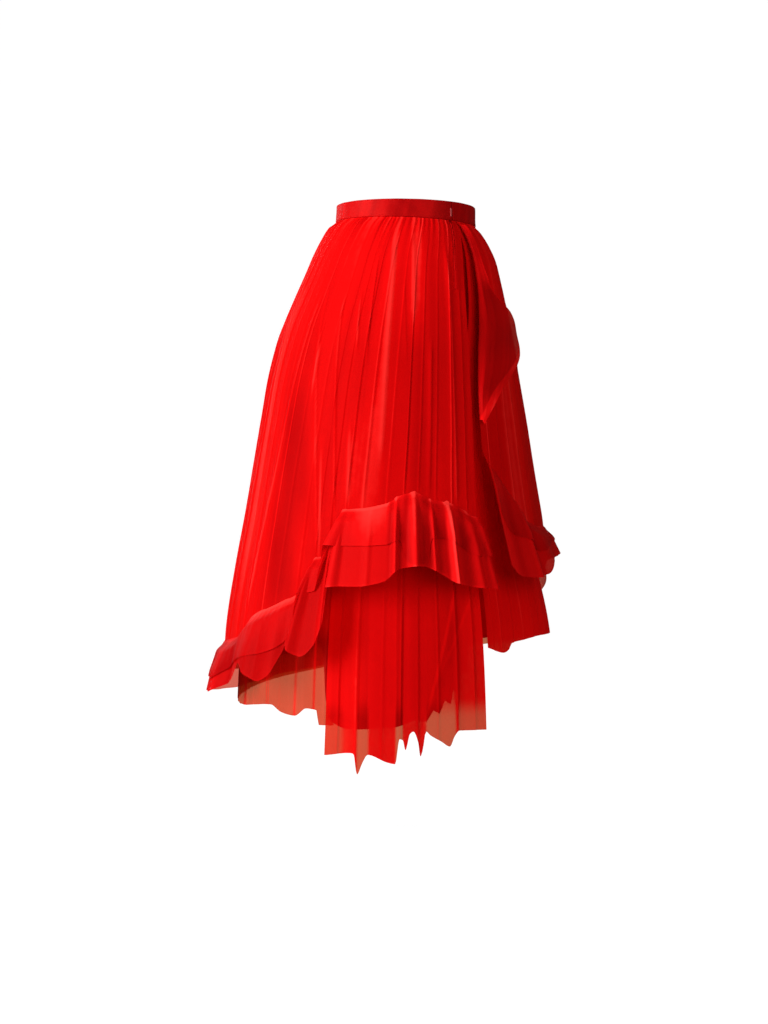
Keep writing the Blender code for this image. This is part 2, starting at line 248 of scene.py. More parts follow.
# %% [markdown]
# ## Cloth finishes
# Tulle and organza are open weaves of dyed thread. Some light passes between the threads, and
# comes through coloured, as through a red filter, so one layer over white looks peach and two
# look red. Each finish is a Principled surface, mixed with a little Translucent for the glow from
# behind, and then with a tinted Transparent one by how dense the cloth is.
# Most of them gleam as the pleated tulle does, and the others say what differs.
# A pleat's folded edge is two or three layers thick. The sheets carry two values for this and more:
# `tone` for the colour, which holds painted light and shade as well as the cloth's own changes of
# tone, and `dense` for how much they hide. Their UV map is in metres, for the weave.

# %% Cloth finishes
Finish = namedtuple(
    "Finish",
    "deep bright pale tint roughness specular sheen through thread",
    defaults=(0.60, 0.12, 0.04, 0.14, 0.0011),
)
FINISHES = {
    "pleated tulle": Finish(
        deep=(0.36, 0.0002, 0.0012),
        bright=(0.95, 0.0030, 0.0032),
        pale=(1.0, 0.026, 0.022),
        tint=(0.55, 0.10, 0.05),
    ),
    "sheer tulle": Finish(
        deep=(0.36, 0.0002, 0.0012),
        bright=(0.95, 0.0030, 0.0030),
        pale=(1.0, 0.060, 0.045),
        tint=(0.47, 0.150, 0.072),
        through=0.25,
    ),
    "ruffle organza": Finish(
        deep=(0.34, 0.0003, 0.0012),
        bright=(0.90, 0.0050, 0.0055),
        pale=(1.0, 0.040, 0.034),
        tint=(0.85, 0.20, 0.14),
        roughness=0.48,
        specular=0.15,
        thread=0.0007,
    ),
    "lining": Finish(
        deep=(0.30, 0.0003, 0.0006),
        bright=(0.80, 0.0015, 0.0015),
        pale=(0.90, 0.010, 0.008),
        tint=(0.5, 0.02, 0.02),
        roughness=0.65,
        specular=0.10,
        sheen=0.03,
        through=0.05,
        thread=0.0009,
    ),
    "band satin": Finish(
        deep=(0.22, 0.0003, 0.0012),
        bright=(0.80, 0.0060, 0.0060),
        pale=(1.0, 0.050, 0.045),
        tint=(0.5, 0.02, 0.02),
        roughness=0.42,
        specular=0.25,
        sheen=0.05,
        through=0.03,
        thread=0.0006,
    ),
}
PALE_FROM = 0.72  # the tone above which the colour goes from bright to pale, as under painted highlights
CLOUD_SCALE = (7.0, 7.0, 2.4)  # tonal clouds are taller than they are wide
CLOUD_SHARE = 0.32
GRAIN_SCALE = 70.0
GRAIN_SHARE = 0.10
ROUGH_SHARE = 0.2  # how much the clouds change the gloss
THREAD_SHARE = 0.05  # how much the threads change what the cloth hides
WEAVE_HEIGHT = 0.0002
RED_GLOSS = (1.0, 0.05, 0.04, 1.0)


def opaque(rgb):
    return (*rgb, 1.0)


def make_cloth(name):
    """A dyed cloth, whose colour runs from deep to bright with the sheet's tone, painted light and
    shade included.
    """
    finish = FINISHES[name]
    material, start = new_finish(name)
    tone = start.node("ShaderNodeAttribute", {"attribute_name": "tone"}, {}, 2)
    dense = start.node("ShaderNodeAttribute", {"attribute_name": "dense"}, {}, 2)
    place = start.node("ShaderNodeTexCoord", {}, {}, 3)
    stretched = start.node("ShaderNodeMapping", {}, {"Vector": place, "Scale": CLOUD_SCALE})
    cloud = start.node("ShaderNodeTexNoise", {}, {"Vector": stretched, "Scale": 1.0, "Detail": 4.0})
    grain = start.node("ShaderNodeTexNoise", {}, {"Vector": place, "Scale": GRAIN_SCALE})
    flat = start.node("ShaderNodeUVMap", {"uv_map": "cloth"}, {})
    across = start.node("ShaderNodeSeparateXYZ", {}, {0: flat}, 0)
    down = start.node("ShaderNodeSeparateXYZ", {}, {0: flat}, 1)
    turns = 2 * math.pi / finish.thread
    threads = start.sum("SINE", across * turns) * start.sum("SINE", down * turns)
    light = (tone + (cloud - 0.5) * CLOUD_SHARE + (grain - 0.5) * GRAIN_SHARE).clamp()
    # The tone holds painted light and shade, so this colour is the dye with painted light on it.
    dye_and_painted_light = light.blend(opaque(finish.deep), opaque(finish.bright))
    paleness = ((light - PALE_FROM) * (1 / (1 - PALE_FROM))).clamp()
    raised = {"Strength": 0.2, "Distance": WEAVE_HEIGHT, "Height": threads + grain}
    surface = start.node(
        "ShaderNodeBsdfPrincipled",
        {},
        {
            "Base Color": paleness.blend(dye_and_painted_light, opaque(finish.pale)),
            "Roughness": (finish.roughness + (cloud - 0.5) * ROUGH_SHARE).clamp(),
            "Normal": start.node("ShaderNodeBump", {}, raised),
            "Specular IOR Level": finish.specular,
            "Specular Tint": RED_GLOSS,
            "Sheen Weight": finish.sheen,
            "Sheen Roughness": 0.4,
            "Sheen Tint": RED_GLOSS,
        },
    )
    glow = start.node("ShaderNodeBsdfTranslucent", {}, {"Color": opaque(finish.bright)})
    cloth = start.node("ShaderNodeMixShader", {}, {0: finish.through, 1: surface, 2: glow})
    gap = start.node("ShaderNodeBsdfTransparent", {}, {"Color": opaque(finish.tint)})
    hides = (dense + threads * THREAD_SHARE).clamp()
    both = start.node("ShaderNodeMixShader", {}, {0: hides, 1: gap, 2: cloth})
    start.node("ShaderNodeOutputMaterial", {}, {0: both})
    return material


CLOTH = {name: make_cloth(name) for name in FINISHES}
print("finishes", list(CLOTH))

# %% [markdown]
# ## The form under the cloth
# All the layers follow one form, an oval at each height, whose half-widths come from a short
# table. The solids were made from the same table, so each sheet lies on its solid. A smooth curve
# runs through the rows and never swings past them, which keeps the outline clean.

# %% The form's sections
Section = namedtuple("Section", "z left right front back tilt")


def table(kind, *rows):
    """Rows of numbers as named rows, so that a column can be asked for by its name."""
    return [kind(*row) for row in rows]


SECTIONS = table(
    Section,
    (0.016, 0.1200, 0.1200, 0.0970, 0.0960, 0.016),
    (-0.016, 0.1215, 0.1210, 0.0980, 0.0970, 0.036),
    (-0.026, 0.1345, 0.1300, 0.1050, 0.1050, 0.034),
    (-0.050, 0.1495, 0.1455, 0.1170, 0.1200, 0.031),
    (-0.076, 0.1625, 0.1570, 0.1270, 0.1330, 0.028),
    (-0.102, 0.1735, 0.1635, 0.1360, 0.1450, 0.025),
    (-0.154, 0.1965, 0.1745, 0.1525, 0.1670, 0.020),
    (-0.206, 0.2175, 0.1845, 0.1675, 0.1870, 0.016),
    (-0.284, 0.2380, 0.1970, 0.1820, 0.2070, 0.011),
    (-0.363, 0.2520, 0.2100, 0.1940, 0.2220, 0.008),
    (-0.441, 0.2650, 0.2220, 0.2050, 0.2340, 0.006),
    (-0.519, 0.2780, 0.2355, 0.2160, 0.2460, 0.004),
    (-0.600, 0.2930, 0.2525, 0.2290, 0.2580, 0.003),
    (-0.700, 0.3090, 0.2750, 0.2450, 0.2730, 0.001),
    (-0.780, 0.3170, 0.2860, 0.2560, 0.2830, 0.000),
    (-0.860, 0.3220, 0.2930, 0.2650, 0.2910, 0.000),
    (-0.960, 0.3290, 0.2990, 0.2730, 0.2980, 0.000),
)


def unit(value):
    """The value, held between 0 and 1."""
    return np.clip(value, 0, 1)


def ease(share):
    """From 0 to 1 as the share does, but level at both ends."""
    return share * share * (3 - 2 * share)


def smooth_curve(rows, across, up):
    """One column of a table against another, as a curve that never swings past its rows."""
    points = sorted((getattr(row, across), getattr(row, up)) for row in rows)
    xs = np.array([x for x, _ in points])
    ys = np.array([y for _, y in points])
    steps = np.diff(xs)
    slopes = np.diff(ys) / steps
    before, after = slopes[:-1], slopes[1:]
    same_way = before * after > 0
    total = np.where(same_way, before + after, 1.0)
    inner = np.where(same_way, 2 * before * after / total, 0.0)
    ends = np.concatenate([slopes[:1], inner, slopes[-1:]])

    def height(x):
        x = np.clip(x, xs[0], xs[-1])
        i = np.clip(np.searchsorted(xs, x) - 1, 0, len(steps) - 1)
        s = (x - xs[i]) / steps[i]
        leave = s * (1 - s) ** 2
        arrive = s * s * (s - 1)
        level = ys[i] * (1 - ease(s)) + ys[i + 1] * ease(s)
        return level + steps[i] * (leave * ends[i] + arrive * ends[i + 1])

    return height


def curves(rows):
    """A smooth curve for each other column of a table, against its first column."""
    first, *others = rows[0]._fields
    return {name: smooth_curve(rows, first, name) for name in others}


FORM = curves(SECTIONS)


def form_points(angle, z, out):
    """Points `out` metres outside the form, at angles in degrees and heights, as an array."""
    angle, z, out = np.broadcast_arrays(angle, z, out)
    cosine = np.cos(np.radians(angle))
    sine = np.sin(np.radians(angle))
    wide = np.where(cosine > 0, FORM["right"](z), FORM["left"](z))
    deep = np.where(sine > 0, FORM["back"](z), FORM["front"](z))
    reach = out / np.hypot(cosine / wide, sine / deep)
    x = wide * cosine + cosine / wide * reach
    y = deep * sine + sine / deep * reach
    return np.stack([x, y, z - FORM["tilt"](z) * x], axis=-1)


def length_along(points):
    """How far along a line of points each one lies."""
    steps = np.linalg.norm(np.diff(points, axis=0), axis=1)
    return np.concatenate([[0.0], np.cumsum(steps)])


waist_line = form_points(np.linspace(0, 360, 361), 0.0, 0.0)
print("waist round the form", round(float(length_along(waist_line)[-1]), 3), "m")

# %% [markdown]
# ## Pleats
# A pressed knife pleat is a panel that rises slowly to a folded edge, and then drops under the
# next one. The folded edges of this skirt all face right. No two pleats are quite the same, so
# their widths and depths wander, and some are nearly flat.
# All the layers share one pattern of pleats, so they nest and never cut through each other.

# %% The pleats
PLEATS = 58
PANEL = 0.86  # the share of a pleat that its panel takes, before the drop
LAYER_TOP = -0.0158
BELOW_ALL = -0.960
SKIN = 0.0005  # a sheet lies this far inside its solid's outer face
PLEAT_SHARE = 0.15  # of the solid's pleat depth, because pressed cloth lies flatter
ANGLE_WANDER = ((7, 0.7), (13, 0.45))  # waves from edge to edge, and their size in degrees
COUNT_WANDER = ((5, 0.12), (12, 0.10), (23, 0.05))  # the same, with their size in pleats
ROLL_DEEP = 0.0016
ROLL_GROWS = 0.4  # the broad waves reach that depth after this drop
ROLL_MOST = 1.3  # and at most this many times that depth
ROLL_WAVES = 9
ROLL_LEAN = 3.0
TUCK_DEEP = 0.0008
TUCK_FADE = 0.022
TUCK_START = 0.003
TUCKS_PER_PLEAT = 1.7
TUCK_LEAN = 12
Edge = namedtuple("Edge", "z straight wrap")
EDGES = table(
    Edge,
    (-0.016, -46.0, -404.6),
    (-0.050, -50.5, -404.4),
    (-0.090, -53.8, -404.6),
    (-0.140, -55.5, -405.4),
    (-0.243, -57.3, -411.0),
    (-0.361, -59.0, -415.0),
    (-0.510, -61.0, -415.5),
    (-0.960, -62.0, -417.0),
)
Depth = namedtuple("Depth", "z pleat under_front under_back lining")
DEPTHS = table(
    Depth,
    (LAYER_TOP, 0.0007, 0.0014, 0.0028, 0.0050),
    (-0.024, 0.0011, 0.0020, 0.0039, 0.0068),
    (-0.036, 0.0016, 0.0030, 0.0056, 0.0095),
    (-0.058, 0.0022, 0.0045, 0.0085, 0.0140),
    (-0.090, 0.0028, 0.0065, 0.0125, 0.0200),
    (-0.140, 0.0035, 0.0085, 0.0165, 0.0270),
    (-0.260, 0.0044, 0.0120, 0.0210, 0.0370),
    (-0.480, 0.0056, 0.0170, 0.0260, 0.0520),
    (-0.700, 0.0066, 0.0210, 0.0280, 0.0700),
    (-0.960, 0.0072, 0.0240, 0.0320, 0.0780),
)
EDGE_ANGLE = curves(EDGES)
DEPTH = curves(DEPTHS)
UNEVEN = np.random.default_rng(7)
PLEAT_STRENGTH = UNEVEN.uniform(0.25, 1.15, PLEATS + 3)
PLEAT_TONE = UNEVEN.uniform(-0.10, 0.10, PLEATS + 3)
FINE_TONE = UNEVEN.uniform(-1, 1, 6 * PLEATS)
# How strongly each pleat's folded edge is marked: its painted highlight, and how much more it
# hides.
EDGE_LIGHT = UNEVEN.uniform(0.1, 1.0, PLEATS + 3) ** 2


def wander(place, waves):
    """A few waves of unlike lengths, added up, so that nothing repeats evenly."""
    return sum(size * np.sin(2 * count * np.pi * place) for count, size in waves)


def pleat_angle(place, z):
    """The angle of a place across the pleats, from 0 at the straight edge to 1 at the wrap."""
    straight = EDGE_ANGLE["straight"](z)
    return straight + place * (EDGE_ANGLE["wrap"](z) - straight) + wander(place, ANGLE_WANDER)


def pleat_count(place):
    """How many pleats lie between the straight edge and a place: some are wide, some narrow."""
    return PLEATS * place + wander(place, COUNT_WANDER)


def knife(tally):
    """1 on a folded edge and -1 where the panel ends, with a short steep step between."""
    part = tally % 1
    drop = unit((part - PANEL) / (1 - PANEL))
    return np.where(part < PANEL, 1 - 2 * part / PANEL, -1 + 2 * ease(drop))


def per_pleat(values, tally):
    """A value for each pleat, passing smoothly from one to the next."""
    low = np.clip(np.floor(tally).astype(int), 0, len(values) - 2)
    part = ease(unit(tally - low))
    return values[low] * (1 - part) + values[low + 1] * part


def slow_roll(angle, z):
    """The broad waves that all the layers share, which grow as they fall from the waist."""
    grown = np.clip((LAYER_TOP - z) / ROLL_GROWS, 0, ROLL_MOST)
    turn = np.radians(angle)
    uneven = 0.7 + 0.5 * np.sin(2.3 * turn + 0.8)
    return ROLL_DEEP * grown * np.sin(ROLL_WAVES * turn + ROLL_LEAN * z) * uneven


def waist_gathers(tally, z):
    """Small tucks where the cloth is pulled into the waistband, gone within a hand's width."""
    drop = LAYER_TOP - z
    depth = TUCK_DEEP * np.exp(-drop / TUCK_FADE) * unit(drop / TUCK_START)
    return depth * np.sin(2 * np.pi * TUCKS_PER_PLEAT * tally + TUCK_LEAN * drop)


print("pleats", PLEATS)

# %% [markdown]
# ## Creases and bands
# Over the even pleats lie a few long creases, where the cloth really folded. Each is a soft ridge
# between two points, steeper on its right, with a line of light painted along it. The bands are
# broader, and only change the tone: painted light and shade for where the cloth bulges towards the
# light or away from it. Those at the front are placed one by one, and a loop lays similar ones
# round the hidden sides.

# %% The creases and bands
Crease = namedtuple("Crease", "top_angle top_z low_angle low_z width rise light")
FRONT_CREASES = table(
    Crease,
    (-136.8, -0.160, -151.3, -0.662, 0.9, 0.0024, 0.9),
    (-129.8, -0.245, -130.4, -0.315, 1.1, 0.0018, 0.9),
    (-133.0, -0.150, -120.7, -0.590, 0.8, 0.0018, 0.5),
    (-121.6, -0.165, -115.8, -0.510, 0.8, 0.0020, 0.6),
    (-112.7, -0.160, -111.2, -0.245, 0.9, 0.0018, 0.7),
    (-106.4, -0.100, -106.7, -0.255, 0.6, 0.0016, 0.6),
    (-97.0, -0.060, -99.8, -0.420, 2.0, 0.0020, 0.5),
    (-91.4, -0.140, -90.4, -0.260, 1.0, 0.0008, 0.3),
    (-111.8, -0.380, -110.6, -0.505, 1.3, 0.0016, 0.5),
    (-86.0, -0.050, -86.5, -0.190, 2.4, 0.0014, 0.4),
    (-77.7, -0.240, -81.0, -0.480, 0.7, 0.0014, 0.4),
    (-65.0, -0.080, -69.6, -0.500, 0.9, 0.0022, 0.8),
)
Band = namedtuple("Band", "top_angle top_z low_angle low_z width tone")
FRONT_BANDS = table(
    Band,
    (-96.5, -0.010, -98.9, -0.300, 2.2, 0.22),
    (-98.9, -0.300, -103.0, -0.520, 3.4, 0.18),
    (-82.8, -0.030, -85.5, -0.200, 4.0, 0.26),
    (-139.5, -0.320, -131.0, -0.520, 6.5, -0.30),
    (-137.5, -0.520, -133.0, -0.680, 5.5, -0.34),
    (-86.0, -0.240, -84.5, -0.500, 5.5, -0.20),
    (-48.0, -0.060, -60.0, -0.520, 3.6, -0.14),
    (-123.0, -0.430, -120.1, -0.590, 0.5, 0.40),
    (-109.0, -0.360, -111.0, -0.520, 3.2, 0.22),
    (-75.0, -0.060, -76.5, -0.400, 3.0, -0.12),
    (-388.0, -0.240, -391.0, -0.600, 13.0, 0.12),
)
HIDDEN_FROM = -158
HIDDEN_TO = -398
HIDDEN_STEP = -11
CREASE_FADE = 0.035
CREASE_STEEP = 1.6  # the slope on a crease's right
CREASE_SLACK = 0.6  # and on its left
CREASE_LINE = 2.2  # how narrow its line of light is
BAND_FADE = 0.09
STREAK_LEAST = 0.05
STREAK_GAIN = 0.22  # how much stronger they are at the waistband, where they paint the gathers' light and shade
STREAK_FADE = 0.025
STREAKS_PER_PLEAT = 5
STREAK_LEAN = 3


def hidden_marks():
    """Creases of unlike lengths for the sides and the back, and a band at every other one."""
    creases = []
    bands = []
    for turn, angle in enumerate(range(HIDDEN_FROM, HIDDEN_TO, HIDDEN_STEP)):
        top = -0.10 - 0.05 * (turn % 3)
        low = -0.34 - 0.07 * (turn * 5 % 4)
        lean = 2.2 * math.sin(turn * 1.7)
        creases.append(Crease(angle, top, angle + lean, low, 0.9, 0.0018, 0.5))
        kind = turn // 2 % 3
        # Every third band is painted shade, and the others painted light.
        shade = -0.25 if kind == 1 else 0.22
        if turn % 2 == 0:
            bands.append(Band(angle, -0.12 - 0.06 * kind, angle - 3, -0.62, 4.0, shade))
    return creases, bands


hidden_creases, hidden_bands = hidden_marks()
CREASES = FRONT_CREASES + hidden_creases
BANDS = FRONT_BANDS + hidden_bands


def bell(off):
    """1 where the value is 0, falling softly to nothing on both sides."""
    return np.exp(-(off**2))


def near_line(mark, fade, angle, z):
    """How many widths each point is from a crease or band, and how far it fades at its ends."""
    along = (z - mark.top_z) / (mark.low_z - mark.top_z)
    line = mark.top_angle + (mark.low_angle - mark.top_angle) * along
    shown = unit((mark.top_z - z) / fade + 0.5) * unit((z - mark.low_z) / fade + 0.5)
    return (angle - line) / mark.width, shown


def crease_relief(angle, z):
    """How far the creases stand out at each point, and how much painted light their lines get."""
    rise = 0.0
    light = 0.0
    for crease in CREASES:
        off, shown = near_line(crease, CREASE_FADE, angle, z)
        rise += crease.rise * shown * bell(np.where(off > 0, CREASE_STEEP, CREASE_SLACK) * off)
        light += crease.light * shown * bell(CREASE_LINE * off)
    return rise, unit(light)


def painted_band_shading(bands, angle, z):
    """The painted light and shade that the bands add to the tone, nearly even across each band."""
    tone = 0.0
    for band in bands:
        off, shown = near_line(band, BAND_FADE, angle, z)
        tone += band.tone * shown * bell(off**2)
    return tone


def fine_streaks(tally, z):
    """Narrow streaks of tone down the pleats, at random, strongest where they leave the waistband,
    where they are painted light and shade of the gathers.
    """
    drop = LAYER_TOP - z
    strength = STREAK_LEAST + STREAK_GAIN * np.exp(-drop / STREAK_FADE)
    return strength * per_pleat(FINE_TONE, STREAKS_PER_PLEAT * tally + 2 + STREAK_LEAN * drop)


print("creases", len(CREASES), "bands", len(BANDS))

# %% [markdown]
# ## From points to cloth
# A sheet is a grid of points joined into faces, with the UV map and the two values that the
# finish reads. Its edges stay open, as those of a real sheet are. Its points are kept, so that
# stitches can be laid on it later.

# %% Sheets of cloth
GRIDS = {}


def grid_area(points):
    across = np.diff(points, axis=0)[:, :-1]
    down = np.diff(points, axis=1)[:-1]
    return float(np.linalg.norm(np.cross(across, down), axis=2).sum())


def make_sheet(name, points, finish, tone, dense, closed=False):
    """A mesh from points[column][row], with a UV map in metres and a tone and dense value."""
    columns, rows = points.shape[:2]
    index = np.arange(columns * rows).reshape(columns, rows)
    if closed:
        index = np.vstack([index, index[:1]])
    faces = np.stack([index[:-1, :-1], index[1:, :-1], index[1:, 1:], index[:-1, 1:]], axis=-1)
    sheet = make_mesh(name, points, faces.reshape(-1, 4).tolist(), CLOTH[finish])
    mesh = sheet.data
    along = np.linalg.norm(np.diff(points, axis=0), axis=2).mean(axis=1)
    down = np.linalg.norm(np.diff(points, axis=1), axis=2)
    u = np.concatenate([[0.0], np.cumsum(along)])[:, None] * np.ones(rows)
    v = np.concatenate([np.zeros((columns, 1)), np.cumsum(down, axis=1)], axis=1)
    flat = np.stack([u, v], axis=-1).reshape(-1, 2)
    corner = np.empty(len(mesh.loops), np.int32)
    mesh.loops.foreach_get("vertex_index", corner)
    mesh.uv_layers.new(name="cloth").data.foreach_set("uv", flat[corner].astype(np.float32).ravel())
    for label, values in (("tone", tone), ("dense", dense)):
        spread = np.broadcast_to(values, (columns, rows)).astype(np.float32)
        mesh.attributes.new(label, "FLOAT", "POINT").data.foreach_set("value", spread.ravel())
    GRIDS[name] = points
    print(name, "faces", len(mesh.polygons), "area", round(grid_area(points), 3), "m2")
    return sheet


def settle(sheet, nodes):
    """Attaches a sheet to the root body, and hides the solids that it stands for."""
    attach(sheet, "root")
    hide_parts(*nodes)


print("sheet helper ready")

# %% [markdown]
# ## The lining
# The lining is a plain tube of opaque cloth, cut a little full, so it falls in a few soft folds
# with no pressed creases. It gives the red above the knee its depth. Its hem dips at the front,
# where it shows through the sheer panel.

# %% The lining
Low = namedtuple("Low", "angle z")
LINING_HEM = table(
    Low,
    (-50, -0.722), (-61, -0.728), (-63, -0.786), (-65, -0.778), (-66.5, -0.818),
    (-69, -0.806), (-71, -0.832), (-73.5, -0.824), (-76, -0.846), (-79, -0.84),
    (-82, -0.858), (-86, -0.856), (-95, -0.868), (-112, -0.872), (-120.5, -0.855),
    (-122.5, -0.8), (-124, -0.735), (-140, -0.724), (-180, -0.73), (-270, -0.728),
    (-360, -0.7), (-400, -0.712), (-410, -0.722),
)
LINING_COLUMNS = 260
LINING_ROWS = 60
LINING_EASE = 0.0015  # it hangs this much further in than its solid, clear of the folds
LINING_EASE_DROP = 0.02  # from this far below the waist seam
LINING_FOLD = 0.0026
LINING_FOLD_DROP = 0.3
LINING_FOLD_MOST = 1.5
LINING_FOLDS = 11
LINING_FINE_FOLDS = 26
LINING_TONE = 0.55
LINING_FOLD_SHADING = 0.08


def make_lining():
    angle = LINING_HEM[0].angle - np.linspace(0, 360, LINING_COLUMNS, endpoint=False)[:, None]
    low = curves(LINING_HEM)["z"](angle)
    z = LAYER_TOP + (low - LAYER_TOP) * np.linspace(0, 1, LINING_ROWS)[None, :]
    drop = LAYER_TOP - z
    turn = np.radians(angle)
    wave = np.sin(turn * LINING_FOLDS + 2 * z) + 0.5 * np.sin(turn * LINING_FINE_FOLDS)
    folds = LINING_FOLD * np.clip(drop / LINING_FOLD_DROP, 0, LINING_FOLD_MOST) * wave
    out = folds - LINING_EASE * unit(drop / LINING_EASE_DROP) - DEPTH["lining"](z)
    points = form_points(angle, z, out + slow_roll(angle, z))
    # Painted light and shade on the folds: the tone is lighter on their crests and darker in their
    # hollows.
    tone = LINING_TONE + LINING_FOLD_SHADING * wave
    return make_sheet("lining_cloth", points, "lining", tone, 1.0, closed=True)


lining = make_lining()
settle(lining, ["lining"])

# %% [markdown]
# ## The two sheer underskirts
# One sheer panel hangs at the front, under the overlay's opening, and the other goes round the
# left, the back and the right. Both are cut with pointed, uneven hems. Where pleats overlap the
# cloth is three layers thick and looks solid red, and where it is single it looks like coloured
# glass. The `Layers` tables say which is which.

# %% The underskirts' hems and layers
UNDER_FRONT_HEM = table(
    Low,
    (-60, -0.868), (-68, -0.868), (-72.2, -0.868), (-73.8, -0.876), (-75.6, -0.893),
    (-78.5, -0.885), (-82.5, -0.874), (-83.9, -0.868), (-85, -0.898), (-85.8, -0.908),
    (-86.6, -0.885), (-88.2, -0.868), (-89.4, -0.872), (-90.8, -0.898), (-91.6, -0.882),
    (-92.6, -0.88), (-93.8, -0.92), (-96, -0.918), (-102.3, -0.906), (-104, -0.92),
    (-105.5, -0.938), (-106.8, -0.905), (-108, -0.904), (-116, -0.909),
)
UNDER_BACK_HEM = table(
    Low,
    (-106, -0.86), (-117, -0.862), (-119.6, -0.862), (-120.8, -0.838), (-124.5, -0.836),
    (-128.9, -0.849), (-134, -0.846), (-140.7, -0.834), (-152, -0.838), (-163, -0.842),
    (-180, -0.836), (-230, -0.808), (-270, -0.78), (-310, -0.755), (-330, -0.74),
    (-350, -0.728), (-370, -0.722), (-385, -0.722), (-400, -0.727), (-407.4, -0.731),
    (-409.5, -0.742), (-412, -0.746), (-420, -0.736),
)
# The tone column is painted light and shade: it lifts the parts that the layers above leave in
# shade, and darkens others.
Layers = namedtuple("Layers", "angle dense tone")
FRONT_LAYERS = table(
    Layers,
    (-60, 0.66, 0.16), (-66, 0.66, 0.06), (-71.6, 0.66, -0.06), (-72.6, 0.97, -0.08),
    (-73.8, 0.48, -0.08), (-83, 0.48, 0), (-84.2, 0.97, -0.1), (-91.2, 0.97, -0.08),
    (-91.8, 0.35, 0), (-93.2, 0.35, 0), (-94, 0.98, 0.04), (-101.6, 0.98, 0.04),
    (-102.6, 0.45, 0.02), (-105.2, 0.45, 0.04), (-106, 0.97, 0.08), (-109.5, 0.92, 0.12),
    (-111.5, 0.66, 0.12), (-116.5, 0.66, 0.12),
)
BACK_LAYERS = table(
    Layers,
    (-104, 0.62, 0.12), (-120.8, 0.42, 0.22), (-121.5, 0.92, 0.22), (-122.2, 0.42, 0.22),
    (-128.2, 0.42, 0.22), (-128.9, 0.92, 0.22), (-129.6, 0.4, 0.22), (-142.4, 0.4, 0.22),
    (-143, 0.8, 0.22), (-143.6, 0.4, 0.22), (-158, 0.42, 0.22), (-161, 0.92, 0.22),
    (-164, 0.5, 0.22), (-190, 0.2, 0), (-320, 0.2, 0), (-345, 0.55, 0),
    (-372, 0.97, 0.12), (-402, 0.97, 0.14), (-403.5, 0.98, 0.16), (-420, 0.98, 0.14),
)
# Two lines of painted light down creases of the front panel, and a band of painted shade beside
# them.
UNDER_BANDS = table(
    Band,
    (-71.2, -0.633, -85.5, -0.880, 0.55, 0.32),
    (-62.5, -0.630, -77.9, -0.770, 0.60, 0.20),
    (-68.0, -0.640, -82.0, -0.840, 2.20, -0.14),
)
print("hem points", len(UNDER_FRONT_HEM), "and", len(UNDER_BACK_HEM))

# %% The underskirts
FINE_STEPS = (0, 0.02, 0.05, 0.1, *np.linspace(0.16, 0.82, 12), 0.86, 0.9, 0.94, 0.97)
COARSE_STEPS = FINE_STEPS[::2]
ROW_CROWDING = 1.2  # above 1, rows lie closer together at the waist
EDGE_LINE = 0.045  # the width of a folded edge, as a share of its pleat
EDGE_LINE_AT = 0.04
SHEER_TONE = 0.46
SHEER_EDGE_HIGHLIGHT = 0.18  # how much paler a folded edge is painted, as a highlight
SHEER_LINE_DENSE = 0.25  # and how much more it hides
SHEER_LAP_DENSE = 0.42  # above the lowest stretch a second layer hangs behind
SHEER_LAP_FADE = 0.03
SHEER_GATHERS = (-0.20, 0.18)  # the lowest height of the gathers, and their fade above it
WAIST_DENSE = 0.3  # how much more any layer hides where it is gathered
FRONT_SPAN = (0.0, 0.155)
BACK_SPAN = (0.147, 1 + 0.5 / PLEATS)
FRONT_ROWS = 120
BACK_ROWS = 80
FRONT_SINGLE = -0.845  # below this height the front panel is one layer thick
BACK_SINGLE = -0.730


def pleat_places(span, steps):
    """Places across a layer: the same steps in every pleat, closest together at its edge."""
    place = np.linspace(span[0], span[1], 20000)
    tally = pleat_count(place)
    wholes = np.arange(math.floor(tally[0]), math.ceil(tally[-1]) + 1)
    goal = (wholes[:, None] + np.array(steps)).ravel()
    goal = goal[(goal > tally[0]) & (goal < tally[-1])]
    return np.interp(np.concatenate([tally[:1], goal, tally[-1:]]), tally, place)[:, None]


def edge_line(tally):
    """1 along a pleat's folded edge, and 0 away from it. The edge hides more and gets a painted
    highlight, and some edges get less of both.
    """
    past = (tally - EDGE_LINE_AT) % 1
    return bell(np.minimum(past, 1 - past) / EDGE_LINE) * per_pleat(EDGE_LIGHT, tally)


def gathered(z, gathers):
    """1 close under the waistband, fading to 0 at the gathers' lowest height."""
    low, fade = gathers
    return unit((z - low) / fade)


def hang_layer(span, inset, hem, steps, rows):
    """Pleats, angles, heights and depths of a pleated layer, from waist to hem."""
    place = pleat_places(span, steps)
    low = hem(pleat_angle(place, BELOW_ALL))
    z = LAYER_TOP + (low - LAYER_TOP) * np.linspace(0, 1, rows)[None, :] ** ROW_CROWDING
    tally = pleat_count(place)
    angle = pleat_angle(place, z)
    pleat = PLEAT_SHARE * DEPTH["pleat"](z) * knife(tally) * per_pleat(PLEAT_STRENGTH, tally)
    out = pleat + waist_gathers(tally, z) + slow_roll(angle, z) - SKIN
    if inset:
        out = out - DEPTH[inset](z)
    return tally, angle, z, out


